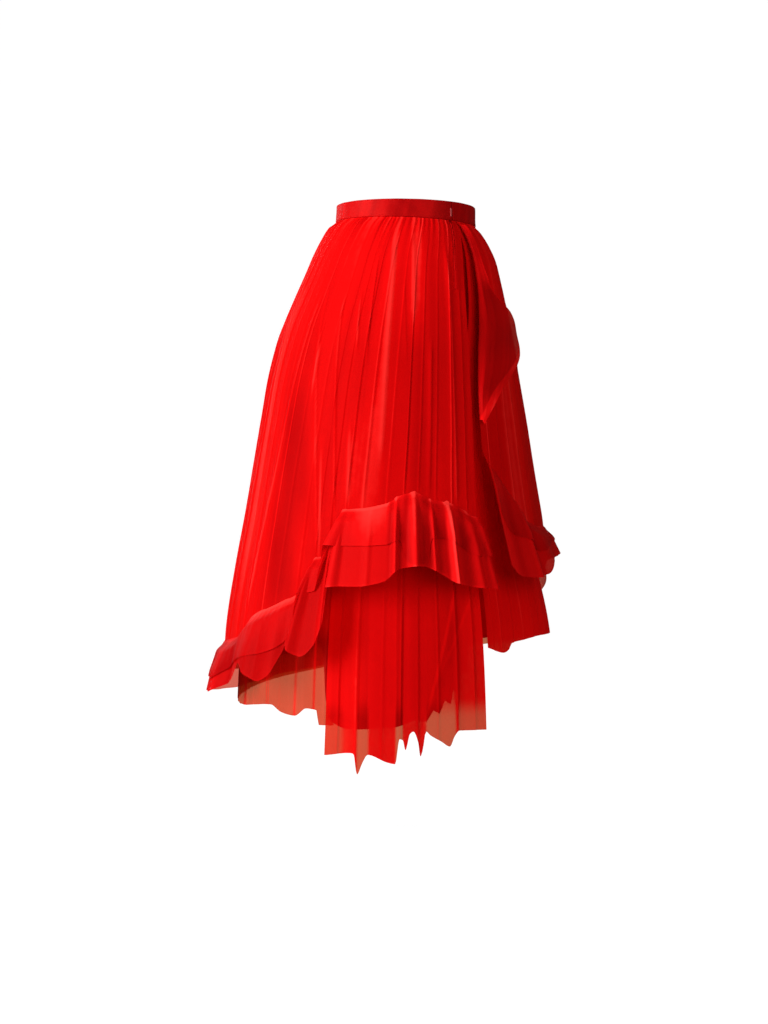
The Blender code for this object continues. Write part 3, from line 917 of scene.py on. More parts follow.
def make_underskirt(node, span, hem_rows, layer_rows, steps, rows, single):
    layers = curves(layer_rows)
    tally, angle, z, out = hang_layer(span, node, curves(hem_rows)["z"], steps, rows)
    line = edge_line(tally)
    # Painted light and shade: a highlight on each folded edge, and the layers' tones and the bands.
    tone = SHEER_TONE + per_pleat(PLEAT_TONE, tally) + SHEER_EDGE_HIGHLIGHT * line
    tone = tone + layers["tone"](angle) + painted_band_shading(UNDER_BANDS, angle, z) + fine_streaks(tally, z)
    laps = SHEER_LAP_DENSE * unit((z - single) / SHEER_LAP_FADE)
    gathers = WAIST_DENSE * gathered(z, SHEER_GATHERS)
    dense = unit(layers["dense"](angle) + SHEER_LINE_DENSE * line + gathers + laps)
    return make_sheet(node + "_cloth", form_points(angle, z, out), "sheer tulle", tone, dense)


under_front = make_underskirt(
    "under_front", FRONT_SPAN, UNDER_FRONT_HEM, FRONT_LAYERS, FINE_STEPS, FRONT_ROWS, FRONT_SINGLE
)
settle(under_front, ["under_front"])
under_back = make_underskirt(
    "under_back", BACK_SPAN, UNDER_BACK_HEM, BACK_LAYERS, COARSE_STEPS, BACK_ROWS, BACK_SINGLE
)
settle(
    under_back, ["under_back"]
)

# %% [markdown]
# ## The overlay
# The top layer is the finest one. It takes the shared pleats and the creases placed one by one. It
# is denser at the waist, where it is gathered, and its hem is held nearly flat along the seam
# that carries the ruffle. The hem's table gives that seam, the foot of each tier of the ruffle,
# and how far round each tier swings as it falls.

# %% The overlay
Hem = namedtuple("Hem", "angle seam upper lower upper_swing lower_swing", defaults=(0.0, 0.0))
HEM = table(
    Hem,
    (-60.5, -0.523, -0.585, -0.640, 2.0, 2.0),
    (-63.5, -0.520, -0.585, -0.637, 1.5, 1.5),
    (-66.5, -0.512, -0.584, -0.636, 0.5, 0.5),
    (-70.0, -0.503, -0.572, -0.633),
    (-74.0, -0.498, -0.560, -0.628),
    (-78.0, -0.496, -0.556, -0.616),
    (-81.0, -0.493, -0.556, -0.608),
    (-84.0, -0.486, -0.596, -0.602),
    (-87.0, -0.483, -0.598, -0.601),
    (-90.0, -0.484, -0.594, -0.603),
    (-92.5, -0.488, -0.560, -0.606),
    (-97.0, -0.500, -0.567, -0.626),
    (-105.0, -0.508, -0.569, -0.634),
    (-110.0, -0.510, -0.569, -0.634, -1.2, -0.4),
    (-112.5, -0.511, -0.568, -0.636, -4.2, -1.6),
    (-113.6, -0.524, -0.577, -0.664, -3.6, -0.4),
    (-115.2, -0.548, -0.610, -0.704, -2.4, 0.4),
    (-117.0, -0.584, -0.642, -0.730, -1.8, 0.0),
    (-119.5, -0.588, -0.645, -0.747, -1.8, -1.2),
    (-121.3, -0.590, -0.646, -0.738, -2.8, -3.4),
    (-123.0, -0.606, -0.690, -0.726, -1.6, -3.2),
    (-125.5, -0.642, -0.712, -0.720, -0.3, -1.0),
    (-128.0, -0.653, -0.728, -0.746),
    (-131.0, -0.659, -0.738, -0.780),
    (-135.5, -0.668, -0.745, -0.790),
    (-141.0, -0.678, -0.750, -0.780),
    (-146.0, -0.686, -0.755, -0.764),
    (-150.0, -0.700, -0.763, -0.794),
    (-155.0, -0.722, -0.778, -0.804),
    (-165.0, -0.733, -0.797, -0.819),
    (-180.0, -0.737, -0.800, -0.824),
    (-205.0, -0.736, -0.798, -0.832),
    (-237.0, -0.715, -0.772, -0.808),
    (-270.0, -0.680, -0.742, -0.784),
    (-310.0, -0.620, -0.685, -0.728),
    (-330.0, -0.580, -0.624, -0.648),
    (-345.0, -0.552, -0.576, -0.596),
    (-364.5, -0.537, -0.558, -0.583),
    (-375.0, -0.538, -0.564, -0.587),
    (-385.0, -0.536, -0.572, -0.597),
    (-392.0, -0.527, -0.578, -0.617),
    (-400.0, -0.490, -0.560, -0.621),
    (-408.0, -0.450, -0.548, -0.620),
    (-412.5, -0.432, -0.530, -0.612),
    (-415.2, -0.412, -0.505, -0.600),
)
HEM_LINE = curves(HEM)
OVERLAY_ROWS = 70
RUFFLE_LAP = 0.010  # the overlay ends this far below the ruffle's seam
SEAM_HOLDS = 0.9  # the share of its depth that the overlay loses at the seam
SEAM_HOLD_FADE = 0.015
TULLE_TONE = 0.60
TULLE_EDGE_HIGHLIGHT = 0.40
TULLE_CREASE_HIGHLIGHT = 0.36
TULLE_DENSE = 0.76
TULLE_LINE_DENSE = 0.15
TULLE_GATHERS = (-0.25, 0.2)


def make_overlay():
    def hem(angle):
        return HEM_LINE["seam"](angle) - RUFFLE_LAP

    tally, angle, z, out = hang_layer((0.0, 1.0), None, hem, FINE_STEPS, OVERLAY_ROWS)
    rise, light = crease_relief(angle, z)
    free = 1 - SEAM_HOLDS * np.exp(-unit(z - HEM_LINE["seam"](angle)) / SEAM_HOLD_FADE)
    held = slow_roll(angle, z) - SKIN
    points = form_points(angle, z, held + (out - held + rise) * free)
    line = edge_line(tally)
    # Painted highlights along the folded edges and the creases, and the bands' painted light and
    # shade.
    tone = TULLE_TONE + per_pleat(PLEAT_TONE, tally) + TULLE_EDGE_HIGHLIGHT * line
    tone = tone + TULLE_CREASE_HIGHLIGHT * light + painted_band_shading(BANDS, angle, z) + fine_streaks(tally, z)
    folded = TULLE_LINE_DENSE * (line + light)
    dense = unit(TULLE_DENSE + folded + WAIST_DENSE * gathered(z, TULLE_GATHERS))
    return make_sheet("overlay_cloth", points, "pleated tulle", tone, dense)


overlay = make_overlay()
settle(
    overlay, ["overlay"]
)

# %% [markdown]
# ## The hem ruffle
# Two tiers of crisp organza hang from one seam on the overlay's hem. A real ruffle is a straight
# strip pushed together along its seam, so it stands in round folds with flat stretches between.
# The folds at the front are placed one by one. Further round, an uneven wave makes similar ones.
# The top edge is sewn flat and folded over just below the seam, and a line of light is painted
# along it. A rim of light is painted along the hem, and a crescent of light on the upper tier at
# the left.

# %% The folds and shades of the ruffle
# The light column is a highlight painted on each fold's crest.
Fold = namedtuple("Fold", "angle width out light")
FRONT_FOLDS = table(
    Fold,
    (-61.5, 2, 0.004, 0.05), (-65.6, 2.6, 0.006, 0.2), (-73.4, 1.9, 0.01, 0.44),
    (-80.6, 1.3, 0.006, 0.25), (-87, 2.9, 0.0095, 0.25), (-93.6, 1.5, 0.007, 0.25),
    (-102, 2, 0.0012, 0.05), (-111.5, 2.6, 0.005, 0.1), (-115.4, 1.3, 0.003, 0.15),
    (-121.4, 2.4, 0.006, 0.12), (-131, 6, 0.0045, 0.05), (-141.5, 6.5, 0.006, 0.05),
)
# The upper and lower columns are the tiers' tones, painted light and shade that follow the folds;
# dense is how much the cloth hides.
Shade = namedtuple("Shade", "angle upper lower dense")
SHADES = table(
    Shade,
    (-58, 0.42, 0.38, 0.85), (-65, 0.54, 0.5, 0.85), (-67.5, 0.48, 0.43, 0.9),
    (-70, 0.26, 0.27, 0.95), (-72, 0.66, 0.48, 0.95), (-75, 0.74, 0.52, 0.95),
    (-76.5, 0.31, 0.29, 0.95), (-79.5, 0.28, 0.28, 0.95), (-80.6, 0.52, 0.38, 0.95),
    (-82.5, 0.26, 0.26, 0.95), (-85, 0.46, 0.44, 0.95), (-88, 0.62, 0.56, 0.95),
    (-90.5, 0.3, 0.32, 0.95), (-93.2, 0.54, 0.42, 0.92), (-95.4, 0.36, 0.38, 0.9),
    (-97, 0.82, 0.6, 0.85), (-104, 0.92, 0.7, 0.8), (-109, 0.74, 0.68, 0.8),
    (-113, 0.66, 0.64, 0.85), (-118, 0.66, 0.5, 0.62), (-124, 0.58, 0.48, 0.58),
    (-134, 0.54, 0.46, 0.58), (-146, 0.46, 0.4, 0.68), (-153, 0.22, 0.24, 0.96),
    (-168, 0.16, 0.16, 0.96), (-180, 0.34, 0.34, 0.8), (-195, 0.5, 0.46, 0.34),
    (-310, 0.5, 0.46, 0.34), (-330, 0.42, 0.38, 0.8), (-345, 0.42, 0.4, 0.92),
    (-380, 0.42, 0.38, 0.95), (-403, 0.42, 0.42, 0.96), (-409, 0.58, 0.44, 0.97),
    (-413, 0.54, 0.44, 0.98), (-416, 0.36, 0.4, 0.98),
)
SHADE = curves(SHADES)
WAVES_FROM = -149  # from here round, a wave takes over from the folds
WAVES_GROW = 4.0
WAVE_LONG = 0.083
WAVE_DEEP = 0.0055
WAVE_DRIFT_LONG = 0.41  # the waves come closer and part again over this length
WAVE_DRIFT = 1.3
WAVE_SWELL_LONG = 0.29  # and grow and shrink over this one
WAVE_MEAN = 0.75  # about this share of their full depth
WAVE_SWELL = 0.35  # by this share
WAVE_CREST_HIGHLIGHT = 0.25
WAVE_HOLLOW_SHADE = 0.22
FOLD_STEEP = 1.5  # the slope on a fold's right
FOLD_SLACK = 0.8  # and on its left
BETWEEN_FOLDS = 0.0025  # flat stretches lie this far in
CREST_AT = 0.15  # the crest's painted light falls this far to its left, in widths of the fold
CREST_WIDE = 0.30


def ruffle_wave(angle, length):
    """How far the ruffle's folds stand out, and the light and shade painted on them, lighter on the
    crests and darker in the hollows.
    """
    turn = 2 * np.pi * length
    swing = np.sin(turn / WAVE_LONG + WAVE_DRIFT * np.sin(turn / WAVE_DRIFT_LONG))
    swing = swing * (WAVE_MEAN + WAVE_SWELL * np.sin(turn / WAVE_SWELL_LONG + 1.0))
    past = unit((WAVES_FROM - angle) / WAVES_GROW)
    out = np.full(angle.shape, -BETWEEN_FOLDS)
    light = np.zeros(angle.shape)
    for fold in FRONT_FOLDS:
        off = (angle - fold.angle) / fold.width
        off = np.where(off > 0, FOLD_STEEP, FOLD_SLACK) * off
        out = out + fold.out * np.cos(np.clip(off, -1, 1) * np.pi / 2) ** 2
        light = light + fold.light * bell((off + CREST_AT) / CREST_WIDE)
    out = out * (1 - past) + WAVE_DEEP * swing * past
    shade = WAVE_CREST_HIGHLIGHT * unit(swing) ** 4 - WAVE_HOLLOW_SHADE * unit(-swing) ** 2
    return out, light * (1 - past) + shade * past


print("folds", len(FRONT_FOLDS), "shades", len(SHADES))

# %% The hem ruffle
RUFFLE_COLUMNS = 1300
LOWER_ROWS = 30
UPPER_ROWS = 22
RUFFLE_FLARE = 0.012  # it leans out this far by the time it has fallen RUFFLE_DROP
RUFFLE_DROP = 0.070
RUFFLE_STAND = 0.0011
TIER_SPACING = 0.0024
SEAM_STAND = -0.0008  # the top edge is sewn just under the overlay's face
TIER_SEWN = 0.0003  # and the upper tier's over the lower one's
SEAM_ROLL = 0.020  # the ruffle rolls out to its full stand over this drop
SEAM_LIFT = 0.45  # how much a fold lifts the upper tier's top edge
FOLDS_GROW = 1.6  # the folds are full before the ruffle has leant out all the way
FOLDS_MOST = 1.2
PUCKER_LONG = 0.013  # the small puckers that the seam makes
PUCKER_DEEP = 0.0005
PUCKER_START = 9  # they start sharply at the seam
PUCKER_FADE = 0.3  # and fade in this share of the drop
HEADER_OUT = 0.0014  # the folded top edge stands this far out
HEADER_DROP = 0.003  # and this far below the seam
HEM_EDGE_WIDE = 0.0025
TOP_LIGHT_WIDE = 0.0035
TOP_LIGHT_FROM = -125.0
TOP_LIGHT_TO = -151.0
TOP_LIGHT_DROP = 0.016
CRESCENT_SOFT = 0.006
CRESCENT_HIGHLIGHT = 0.36
TOP_HIGHLIGHT = 0.30
HEM_EDGE_HIGHLIGHT = 0.04
TIER_SHADE = 0.25  # how much painted shade darkens the upper tier towards its edge
TIER_DENSE = 0.22
HEM_EDGE_DENSE = 0.08
TOP_DENSE = 0.2
FOLD_DENSE = 0.2
QUIET_FROM = -383  # from here round to the wrap edge the rims get little painted light
QUIET = 0.95


def hem_angles(count):
    """Angles spaced evenly by length along the hem, so that its steep stretches get more."""
    angle = np.linspace(HEM[0].angle, HEM[-1].angle, 6000)
    length = length_along(form_points(angle, HEM_LINE["seam"](angle), 0.0))
    goal = np.linspace(0, length[-1], count)
    return np.interp(goal, length, angle)[:, None], goal[:, None]


def ruffle_out(tier, seam, drop, roll, wave, length):
    """How far a tier stands outside the form, which leans out and folds more as it falls."""
    lean = unit(drop) / RUFFLE_DROP
    stand = DEPTH["pleat"](seam) + RUFFLE_STAND + tier * TIER_SPACING
    sewn = SEAM_STAND + TIER_SEWN * tier
    out = sewn + (stand - sewn) * ease(unit(drop / SEAM_ROLL)) + roll
    grown = np.clip(lean * FOLDS_GROW, 0, FOLDS_MOST)
    out = out + RUFFLE_FLARE * lean + (wave + BETWEEN_FOLDS) * grown
    puckers = PUCKER_DEEP * np.sin(2 * np.pi * length / PUCKER_LONG) * np.exp(-lean / PUCKER_FADE)
    out = out + puckers * unit(lean * PUCKER_START)
    return out + HEADER_OUT * bell((drop - HEADER_DROP) / HEADER_DROP)


def make_ruffle(name, bottom, tier, rows):
    angle, length = hem_angles(RUFFLE_COLUMNS)
    seam = HEM_LINE["seam"](angle)
    reach = seam - HEM_LINE[bottom](angle)
    part = np.linspace(0, 1, rows)[None, :]
    wave, light = ruffle_wave(angle, length)
    z = seam + SEAM_LIFT * unit(wave) * tier * (1 - part) ** 3 - reach * part
    drop = seam - z
    out = ruffle_out(tier, seam, drop, slow_roll(angle, seam), wave, length)
    fallen = angle + HEM_LINE[bottom + "_swing"](angle) * part
    # Painted highlights along the hem's edge and the top edge, and a painted crescent of light on
    # the upper tier at the left; the folded edges also hide more.
    edge = bell(reach * (1 - part) / HEM_EDGE_WIDE)
    top = bell(drop / TOP_LIGHT_WIDE)
    at_left = (angle < TOP_LIGHT_FROM) * (angle > TOP_LIGHT_TO) * tier
    painted_crescent = CRESCENT_HIGHLIGHT * at_left * unit((TOP_LIGHT_DROP - drop) / CRESCENT_SOFT)
    quiet = 1 - QUIET * (angle < QUIET_FROM)
    painted_rims = quiet * (TOP_HIGHLIGHT * top * tier + HEM_EDGE_HIGHLIGHT * edge)
    tone = SHADE[bottom](angle) + light + painted_crescent + painted_rims - TIER_SHADE * tier * part
    dense = SHADE["dense"](angle) + TIER_DENSE * tier + HEM_EDGE_DENSE * edge + TOP_DENSE * top
    dense = dense + FOLD_DENSE * np.abs(light)
    return make_sheet(name, form_points(fallen, z, out), "ruffle organza", tone, unit(dense))


for name, bottom, tier, rows, tall in (
    ("ruffle_lower_cloth", "lower", 0, LOWER_ROWS, 0.11),
    ("ruffle_upper_cloth", "upper", 1, UPPER_ROWS, 0.064),
):
    ruffle = make_ruffle(name, bottom, tier, rows)
    solid = "hem_ruffle_" + bottom
    settle(ruffle, [solid])

# %% [markdown]
# ## The flounce on the wrap edge
# The same organza runs up the curved wrap edge to the waist. There it hangs from a seam that is
# almost upright, so it falls to one side in a wide loop and turns back on itself at both ends.
# Its free edge is folded, so it hides more there, and a paler rim is painted along it.

# %% The flounce
Flounce = namedtuple("Flounce", "seam_angle seam_z free_angle free_z free_out")
FLOUNCE = table(
    Flounce,
    (-404.3, -0.022, -402.0, -0.022, 0.0030),
    (-404.2, -0.045, -400.5, -0.050, 0.0045),
    (-404.2, -0.075, -400.8, -0.088, 0.0035),
    (-404.4, -0.108, -398.5, -0.122, 0.0045),
    (-405.2, -0.140, -391.0, -0.149, 0.0035),
    (-406.8, -0.170, -378.0, -0.171, 0.0030),
    (-408.8, -0.205, -366.0, -0.200, 0.0040),
    (-411.0, -0.240, -376.0, -0.236, 0.0050),
    (-412.6, -0.276, -391.0, -0.278, 0.0060),
    (-413.9, -0.308, -402.5, -0.312, 0.0060),
    (-414.6, -0.336, -409.5, -0.341, 0.0050),
    (-415.0, -0.360, -414.3, -0.368, 0.0040),
)
FLOUNCE_COLUMNS = 260
FLOUNCE_ROWS = 48
FLOUNCE_STAND = 0.0010
FLOUNCE_TUCK = 0.15  # the share of its width in which it rolls out from under the seam
FLOUNCE_FOLDS = 4.5
FLOUNCE_FOLD_OUT = 0.0020
FLOUNCE_FOLD_LEAN = 1.5
LOW_FROM = 0.45  # its lower part begins at this share of its length
LOW_FADE = 0.25
RIM = 0.015  # how wide the folded free edge is, below the loop's widest place
RIM_TOP = 0.25  # and this share of that, above it
RIM_SOFT = 0.002
RIM_TONE = 0.20
RIM_LOW_TONE = 0.22  # how much paler it is below that place
RIM_DENSE = 0.04
STREAK_SPREAD = 0.09  # the width over which the flounce's streaks fan out
STREAKS = 60
STREAKS_NARROW = 0.4  # the share of them that is left where the flounce is narrow
STREAKS_SLANT = 6
STREAK_FIRST = 40  # where they start in FINE_TONE
STREAK_TONE = 0.10
FLOUNCE_TONE = 0.27
FLOUNCE_FOLD_SHADING = 0.08
FLOUNCE_DENSE = 0.96


def make_flounce():
    Step = namedtuple("Step", ("share",) + Flounce._fields)
    steps = [Step(n / (len(FLOUNCE) - 1), *row) for n, row in enumerate(FLOUNCE)]
    line = curves(steps)
    along = np.linspace(0, 1, FLOUNCE_COLUMNS)[:, None]
    across = np.linspace(0, 1, FLOUNCE_ROWS)[None, :]
    angle = line["seam_angle"](along) * (1 - across) + line["free_angle"](along) * across
    z = line["seam_z"](along) * (1 - across) + line["free_z"](along) * across
    fold = np.sin(2 * np.pi * FLOUNCE_FOLDS * along + FLOUNCE_FOLD_LEAN * across)
    leaves = ease(unit(across / FLOUNCE_TUCK))
    out = (DEPTH["pleat"](z) + FLOUNCE_STAND) * leaves + slow_roll(angle, z)
    out = out + line["free_out"](along) * across + FLOUNCE_FOLD_OUT * across * (1 + fold)
    points = form_points(angle, z, out)
    width = np.linalg.norm(points[:, -1:] - points[:, :1], axis=2)
    low = unit((along - LOW_FROM) / LOW_FADE)
    rim = unit((RIM * (RIM_TOP + (1 - RIM_TOP) * low) - width * (1 - across)) / RIM_SOFT)
    fan = STREAKS * across * (STREAKS_NARROW + (1 - STREAKS_NARROW) * width / STREAK_SPREAD)
    streak = per_pleat(FINE_TONE, STREAK_FIRST + fan + STREAKS_SLANT * along)
    # Painted light and shade on the folds, lighter where they stand out, and a paler rim painted
    # along the free edge.
    tone = FLOUNCE_TONE + FLOUNCE_FOLD_SHADING * fold * across + (RIM_TONE + RIM_LOW_TONE * low) * rim
    dense = FLOUNCE_DENSE + RIM_DENSE * rim
    return make_sheet("flounce_cloth", points, "ruffle organza", tone + STREAK_TONE * streak, dense)


flounce = make_flounce()
settle(flounce, ["cascade"])

# %% [markdown]
# ## The waistband
# A strip of satin is folded in half lengthwise over the tops of all the layers, so its section is
# a flat loop that is open at the bottom, where it is sewn on. Its long edges are soft rolls. The
# ends meet at the front right, and the end on the right stands a little proud there. A highlight is
# painted on that end, the band is painted paler on the key light's side, and slanting patches of
# painted sheen run over it.

# %% The waistband
BAND_HEIGHT = 0.031
BAND_OUT = 0.0005
BAND_THICK = 0.0056
BAND_JOIN = -50.0
BAND_GAP = 0.25  # degrees from the join to each end
BAND_ROLL = 0.0016
BAND_ROLL_STEP = 15  # degrees
BAND_SLIT = 0.0003
BAND_COLUMNS = 420
BAND_ROWS = 90
BAND_LAP = 0.0006  # how far the end on the right stands proud
BAND_LAP_FADE = 9.0
BAND_DRAG = 0.00022  # the slanting drag lines of satin that is pulled tight
DRAG_LINES = 19
DRAG_LEAN = 160
DRAG_CLUSTERS = 7
# The patches are painted sheen on the satin.
PATCH_WIDE = 9.0  # degrees
PATCH_LEAN = 14
PATCH_FINER = 2.6  # a second set of painted sheen patches, this many times as narrow
PATCH_COARSE_TONE = 0.5
PATCH_FINE_TONE = 0.35
BAND_TONE = 0.24
BAND_LIT_SIDE_TONE = 0.22  # how much paler it is painted on the key light's side
BAND_SHEEN_TONE = 0.24
BAND_END_HIGHLIGHT = 0.6
BAND_END_WIDE = 0.5


def band_section():
    """Out and height of points round the folded strip, from one bottom edge to the other."""
    half = BAND_HEIGHT / 2 - BAND_ROLL
    near = BAND_OUT - BAND_ROLL
    far = BAND_OUT - BAND_THICK + BAND_ROLL
    middle = (near + far) / 2
    path = [(middle - BAND_SLIT / 2, -half - BAND_ROLL)]
    corners = ((far, -half, 270), (far, half, 180), (near, half, 90), (near, -half, 0))
    for out, z, start in corners:
        for bend in range(0, 91, BAND_ROLL_STEP):
            turn = math.radians(start - bend)
            path.append((out + BAND_ROLL * math.cos(turn), z + BAND_ROLL * math.sin(turn)))
    path.append((middle + BAND_SLIT / 2, -half - BAND_ROLL))
    path = np.array(path)
    length = length_along(path)
    goal = np.linspace(0, length[-1], BAND_ROWS)
    return np.interp(goal, length, path[:, 0]), np.interp(goal, length, path[:, 1])


def make_band():
    section_out, section_z = band_section()
    first = BAND_JOIN - BAND_GAP
    angle = np.linspace(first, BAND_JOIN - 360 + BAND_GAP, BAND_COLUMNS)[:, None]
    turn = np.radians(angle)
    from_join = angle + 360 - BAND_JOIN
    lap = BAND_LAP * np.exp(-from_join / BAND_LAP_FADE)
    lines = np.sin(DRAG_LINES * turn + DRAG_LEAN * section_z)
    drag = BAND_DRAG * lines * (1 + np.sin(DRAG_CLUSTERS * turn))
    points = form_points(angle, section_z + 0 * angle, section_out + drag + lap)
    slant = PATCH_LEAN * section_z - angle / PATCH_WIDE
    painted_sheen = PATCH_COARSE_TONE * per_pleat(FINE_TONE, slant)
    painted_sheen = painted_sheen + PATCH_FINE_TONE * per_pleat(FINE_TONE[::-1], PATCH_FINER * slant)
    # Painted light: paler on the key light's side, patches of painted sheen, and a painted
    # highlight on the end that stands proud.
    left = unit((-np.cos(turn) + 0.1) / 0.9) * (np.sin(turn) < 0)
    end = bell((from_join - BAND_GAP) / BAND_END_WIDE)
    tone = BAND_TONE + BAND_LIT_SIDE_TONE * left + BAND_SHEEN_TONE * painted_sheen + BAND_END_HIGHLIGHT * end
    return make_sheet("waistband_cloth", points, "band satin", tone, 1.0)


band = make_band()
settle(band, ["waistband"])

# %% [markdown]
# ## The closure
# A hidden zip closes the skirt at the front right, and only the dark line where its lips meet
# shows. It stays closed, so its solid is right as it is, and only gets a finer finish: a ribbed
# tape. A short pale bar is sewn across the end of the band above it.

# %% The zip and the bar
RIB = 0.0012
RIB_HEIGHT = 0.0002
TRIM_GRAIN = 900.0
ZIP_FADE = -0.078  # below this the tape turns as bright as the cloth beside it
ZIP_FADE_SHARP = 40
# The tape is painted dark, as the shade in the narrow gap between the lips.
TAPE_DARK = (0.10, 0.0006, 0.0010)
TAPE_LIGHT = (0.20, 0.0010, 0.0014)
TAPE_LOW = (0.36, 0.0012, 0.0016)
BAR_DARK = (0.34, 0.035, 0.035)
BAR_LIGHT = (0.56, 0.12, 0.12)


def make_trim(name, dark, light, roughness, metallic, low=None):
    """A ribbed finish on Object coordinates, with painted shade in the ribs' grooves and painted
    light on their crests, which may turn to another colour at its low end.
    """
    material, start = new_finish(name)
    place = start.node("ShaderNodeTexCoord", {}, {}, 3)
    height = start.node("ShaderNodeSeparateXYZ", {}, {0: place}, 2)
    grain = start.node("ShaderNodeTexNoise", {}, {"Vector": place, "Scale": TRIM_GRAIN})
    rib = start.sum("SINE", height * (2 * math.pi / RIB)) * 0.5 + 0.5
    mixed = (rib * 0.5 + grain * 0.5).clamp()
    raised = {"Strength": 0.3, "Distance": RIB_HEIGHT, "Height": mixed}
    # The ribs' shade and light are painted into the colour, along with the grain's own changes of
    # tone.
    dye_and_painted_light = mixed.blend(opaque(dark), opaque(light))
    if low:
        dye_and_painted_light = ((ZIP_FADE - height) * ZIP_FADE_SHARP).clamp().blend(dye_and_painted_light, opaque(low))
    surface = start.node(
        "ShaderNodeBsdfPrincipled",
        {},
        {
            "Base Color": dye_and_painted_light,
            "Roughness": (grain * 0.2 + roughness).clamp(),
            "Metallic": metallic,
            "Specular IOR Level": 0.1,
            "Specular Tint": RED_GLOSS,
            "Normal": start.node("ShaderNodeBump", {}, raised),
        },
    )
    start.node("ShaderNodeOutputMaterial", {}, {0: surface})
    return material


zip_tape = make_trim("zip tape", TAPE_DARK, TAPE_LIGHT, 0.8, 0.0, TAPE_LOW)
bar_metal = make_trim("bar metal", BAR_DARK, BAR_LIGHT, 0.5, 0.2)
for node, finish in (("side_zip", zip_tape), ("waist_hook", bar_metal)):
    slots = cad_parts[node].data.materials
    slots.clear()
    slots.append(finish)

# %% [markdown]
# The zip's two lips are folded edges of the overlay, pressed to meet over its teeth. Each is a
# soft roll no thicker than a cord, so it is made as one, on a path down the overlay's own form.

# %% The lips over the zip
LIP_RADIUS = 0.0006
LIP_APART = 0.0021
LIP_STAND = 0.0004
LIP_SIDES = 8
LIP_PLEAT = 1.25
LIP_TOP = -0.018
LIP_LOW = -0.108
LIP_STEPS = 60
LIP_END = 40  # the higher, the blunter the lips' ends
LIP_TIP = 0.05
LIP_DARK = (0.42, 0.0010, 0.0015)
LIP_LIGHT = (0.66, 0.0040, 0.0040)


def make_cord(name, path, radius, finish):
    """A closed tube round a path of points, which narrows to its rounded ends."""
    along = np.gradient(path, axis=0)
    along /= np.linalg.norm(along, axis=1, keepdims=True)
    side = np.cross(along, (0.0, 0.0, 1.0))
    side /= np.linalg.norm(side, axis=1, keepdims=True)
    third = np.cross(side, along)
    turn = np.linspace(0, 2 * np.pi, LIP_SIDES, endpoint=False)[None, :, None]
    ring = np.cos(turn) * side[:, None] + np.sin(turn) * third[:, None]
    step = np.linspace(-1, 1, len(path))
    round_end = np.sqrt(np.clip(1 - np.abs(step) ** LIP_END, LIP_TIP, 1))
    points = path[:, None] + radius * round_end[:, None, None] * ring
    index = np.arange(len(path) * LIP_SIDES).reshape(len(path), LIP_SIDES)
    after = np.roll(index, -1, axis=1)
    walls = np.stack([index[:-1], after[:-1], after[1:], index[1:]], axis=-1).reshape(-1, 4)
    caps = [index[0][::-1].tolist(), index[-1].tolist()]
    cord = make_mesh(name, points, walls.tolist() + caps, finish)
    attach(cord, "root")
    return cord


lip_dye = make_trim("lip", LIP_DARK, LIP_LIGHT, 0.6, 0.0)
lip_z = np.linspace(LIP_TOP, LIP_LOW, LIP_STEPS)
lip_angle = pleat_angle(np.full(LIP_STEPS, LIP_PLEAT / PLEATS), lip_z)
lip_round = 180 / math.pi / np.linalg.norm(form_points(lip_angle, lip_z, 0.0)[:, :2], axis=1)
lip_out = DEPTH["pleat"](lip_z) + LIP_STAND
for name, way in (("zip_lip_left", -1), ("zip_lip_right", 1)):
    lip_path = form_points(lip_angle + way * 0.5 * LIP_APART * lip_round, lip_z, lip_out)
    make_cord(name, lip_path, LIP_RADIUS, lip_dye)
print("zip lips", LIP_STEPS, "rings each")

# %% [markdown]
# ## Stitching
# The band is edge-stitched along its foot, and the ruffle and the flounce are sewn on with the
# same thread. One stitch is a short bead of thread, pulled flat at both ends. It is modelled once
# and copied along each seam, turned the way that the seam runs. Its faces are sorted, because
# Blender lists those of a new sphere in another order each time.

# %% Stitches
STITCH_LONG = 0.0022
STITCH_THICK = 0.0004
STITCH_STEP = 0.0038
STITCH_PROUD = 0.3  # of its thickness
FOOT_ROW = 0.003  # the band's row of stitches runs this far above its foot
THREAD_DARK = (0.30, 0.0010, 0.0015)
THREAD_LIGHT = (0.55, 0.0040, 0.0040)

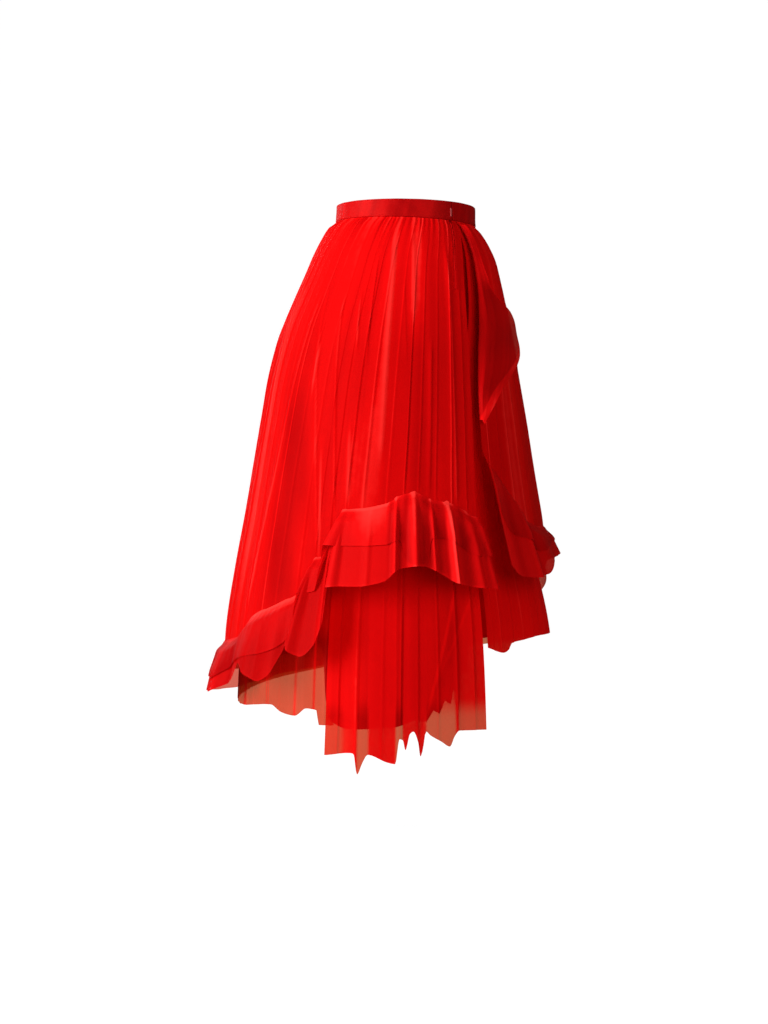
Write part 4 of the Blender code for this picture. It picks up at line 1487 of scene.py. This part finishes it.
bpy.ops.object.select_all(action="DESELECT")
bpy.ops.mesh.primitive_uv_sphere_add(segments=6, ring_count=5, radius=0.5)
bead = bpy.context.object
bead.rotation_euler = (0, math.pi / 2, 0)
bpy.ops.object.transform_apply(location=False, rotation=True, scale=False)
bead.scale = (STITCH_LONG, STITCH_THICK, STITCH_THICK)
bpy.ops.object.transform_apply(location=False, rotation=False, scale=True)
BEAD_POINTS = np.array([vertex.co for vertex in bead.data.vertices])
BEAD_FACES = sorted(tuple(face.vertices) for face in bead.data.polygons)
bpy.data.objects.remove(bead)


def sew(name, seam):
    """Copies of the stitch along a seam, as one mesh, just proud of the cloth."""
    length = length_along(seam)
    goal = np.arange(STITCH_STEP, length[-1] - STITCH_STEP, STITCH_STEP)
    place = np.stack([np.interp(goal, length, seam[:, axis]) for axis in range(3)], axis=1)
    ahead = [np.interp(goal + 0.001, length, seam[:, axis]) for axis in range(3)]
    along = np.stack(ahead, axis=1) - place
    along /= np.linalg.norm(along, axis=1, keepdims=True)
    outward = place * (1, 1, 0)
    outward = outward - along * (outward * along).sum(axis=1, keepdims=True)
    outward /= np.linalg.norm(outward, axis=1, keepdims=True)
    turned = BEAD_POINTS @ np.stack([along, outward, np.cross(along, outward)], axis=1)
    points = place[:, None] + outward[:, None] * STITCH_PROUD * STITCH_THICK + turned
    faces = []
    for first in range(0, len(place) * len(BEAD_POINTS), len(BEAD_POINTS)):
        faces += [tuple(first + corner for corner in face) for face in BEAD_FACES]
    row = make_mesh(name, points, faces, thread)
    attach(row, "root")
    print(name, "stitches", len(place))


thread = make_trim("thread", THREAD_DARK, THREAD_LIGHT, 0.5, 0.0)
outer_face = GRIDS["waistband_cloth"][:, BAND_ROWS // 2 :]
above_foot = outer_face[0, :, 2] - outer_face[0, -1, 2]
foot_row = int(np.argmin(np.abs(above_foot - FOOT_ROW)))
sew("band_stitches", outer_face[:, foot_row])
sew("ruffle_stitches", GRIDS["ruffle_upper_cloth"][:, 2])
sew("flounce_stitches", GRIDS["flounce_cloth"][:, 1])
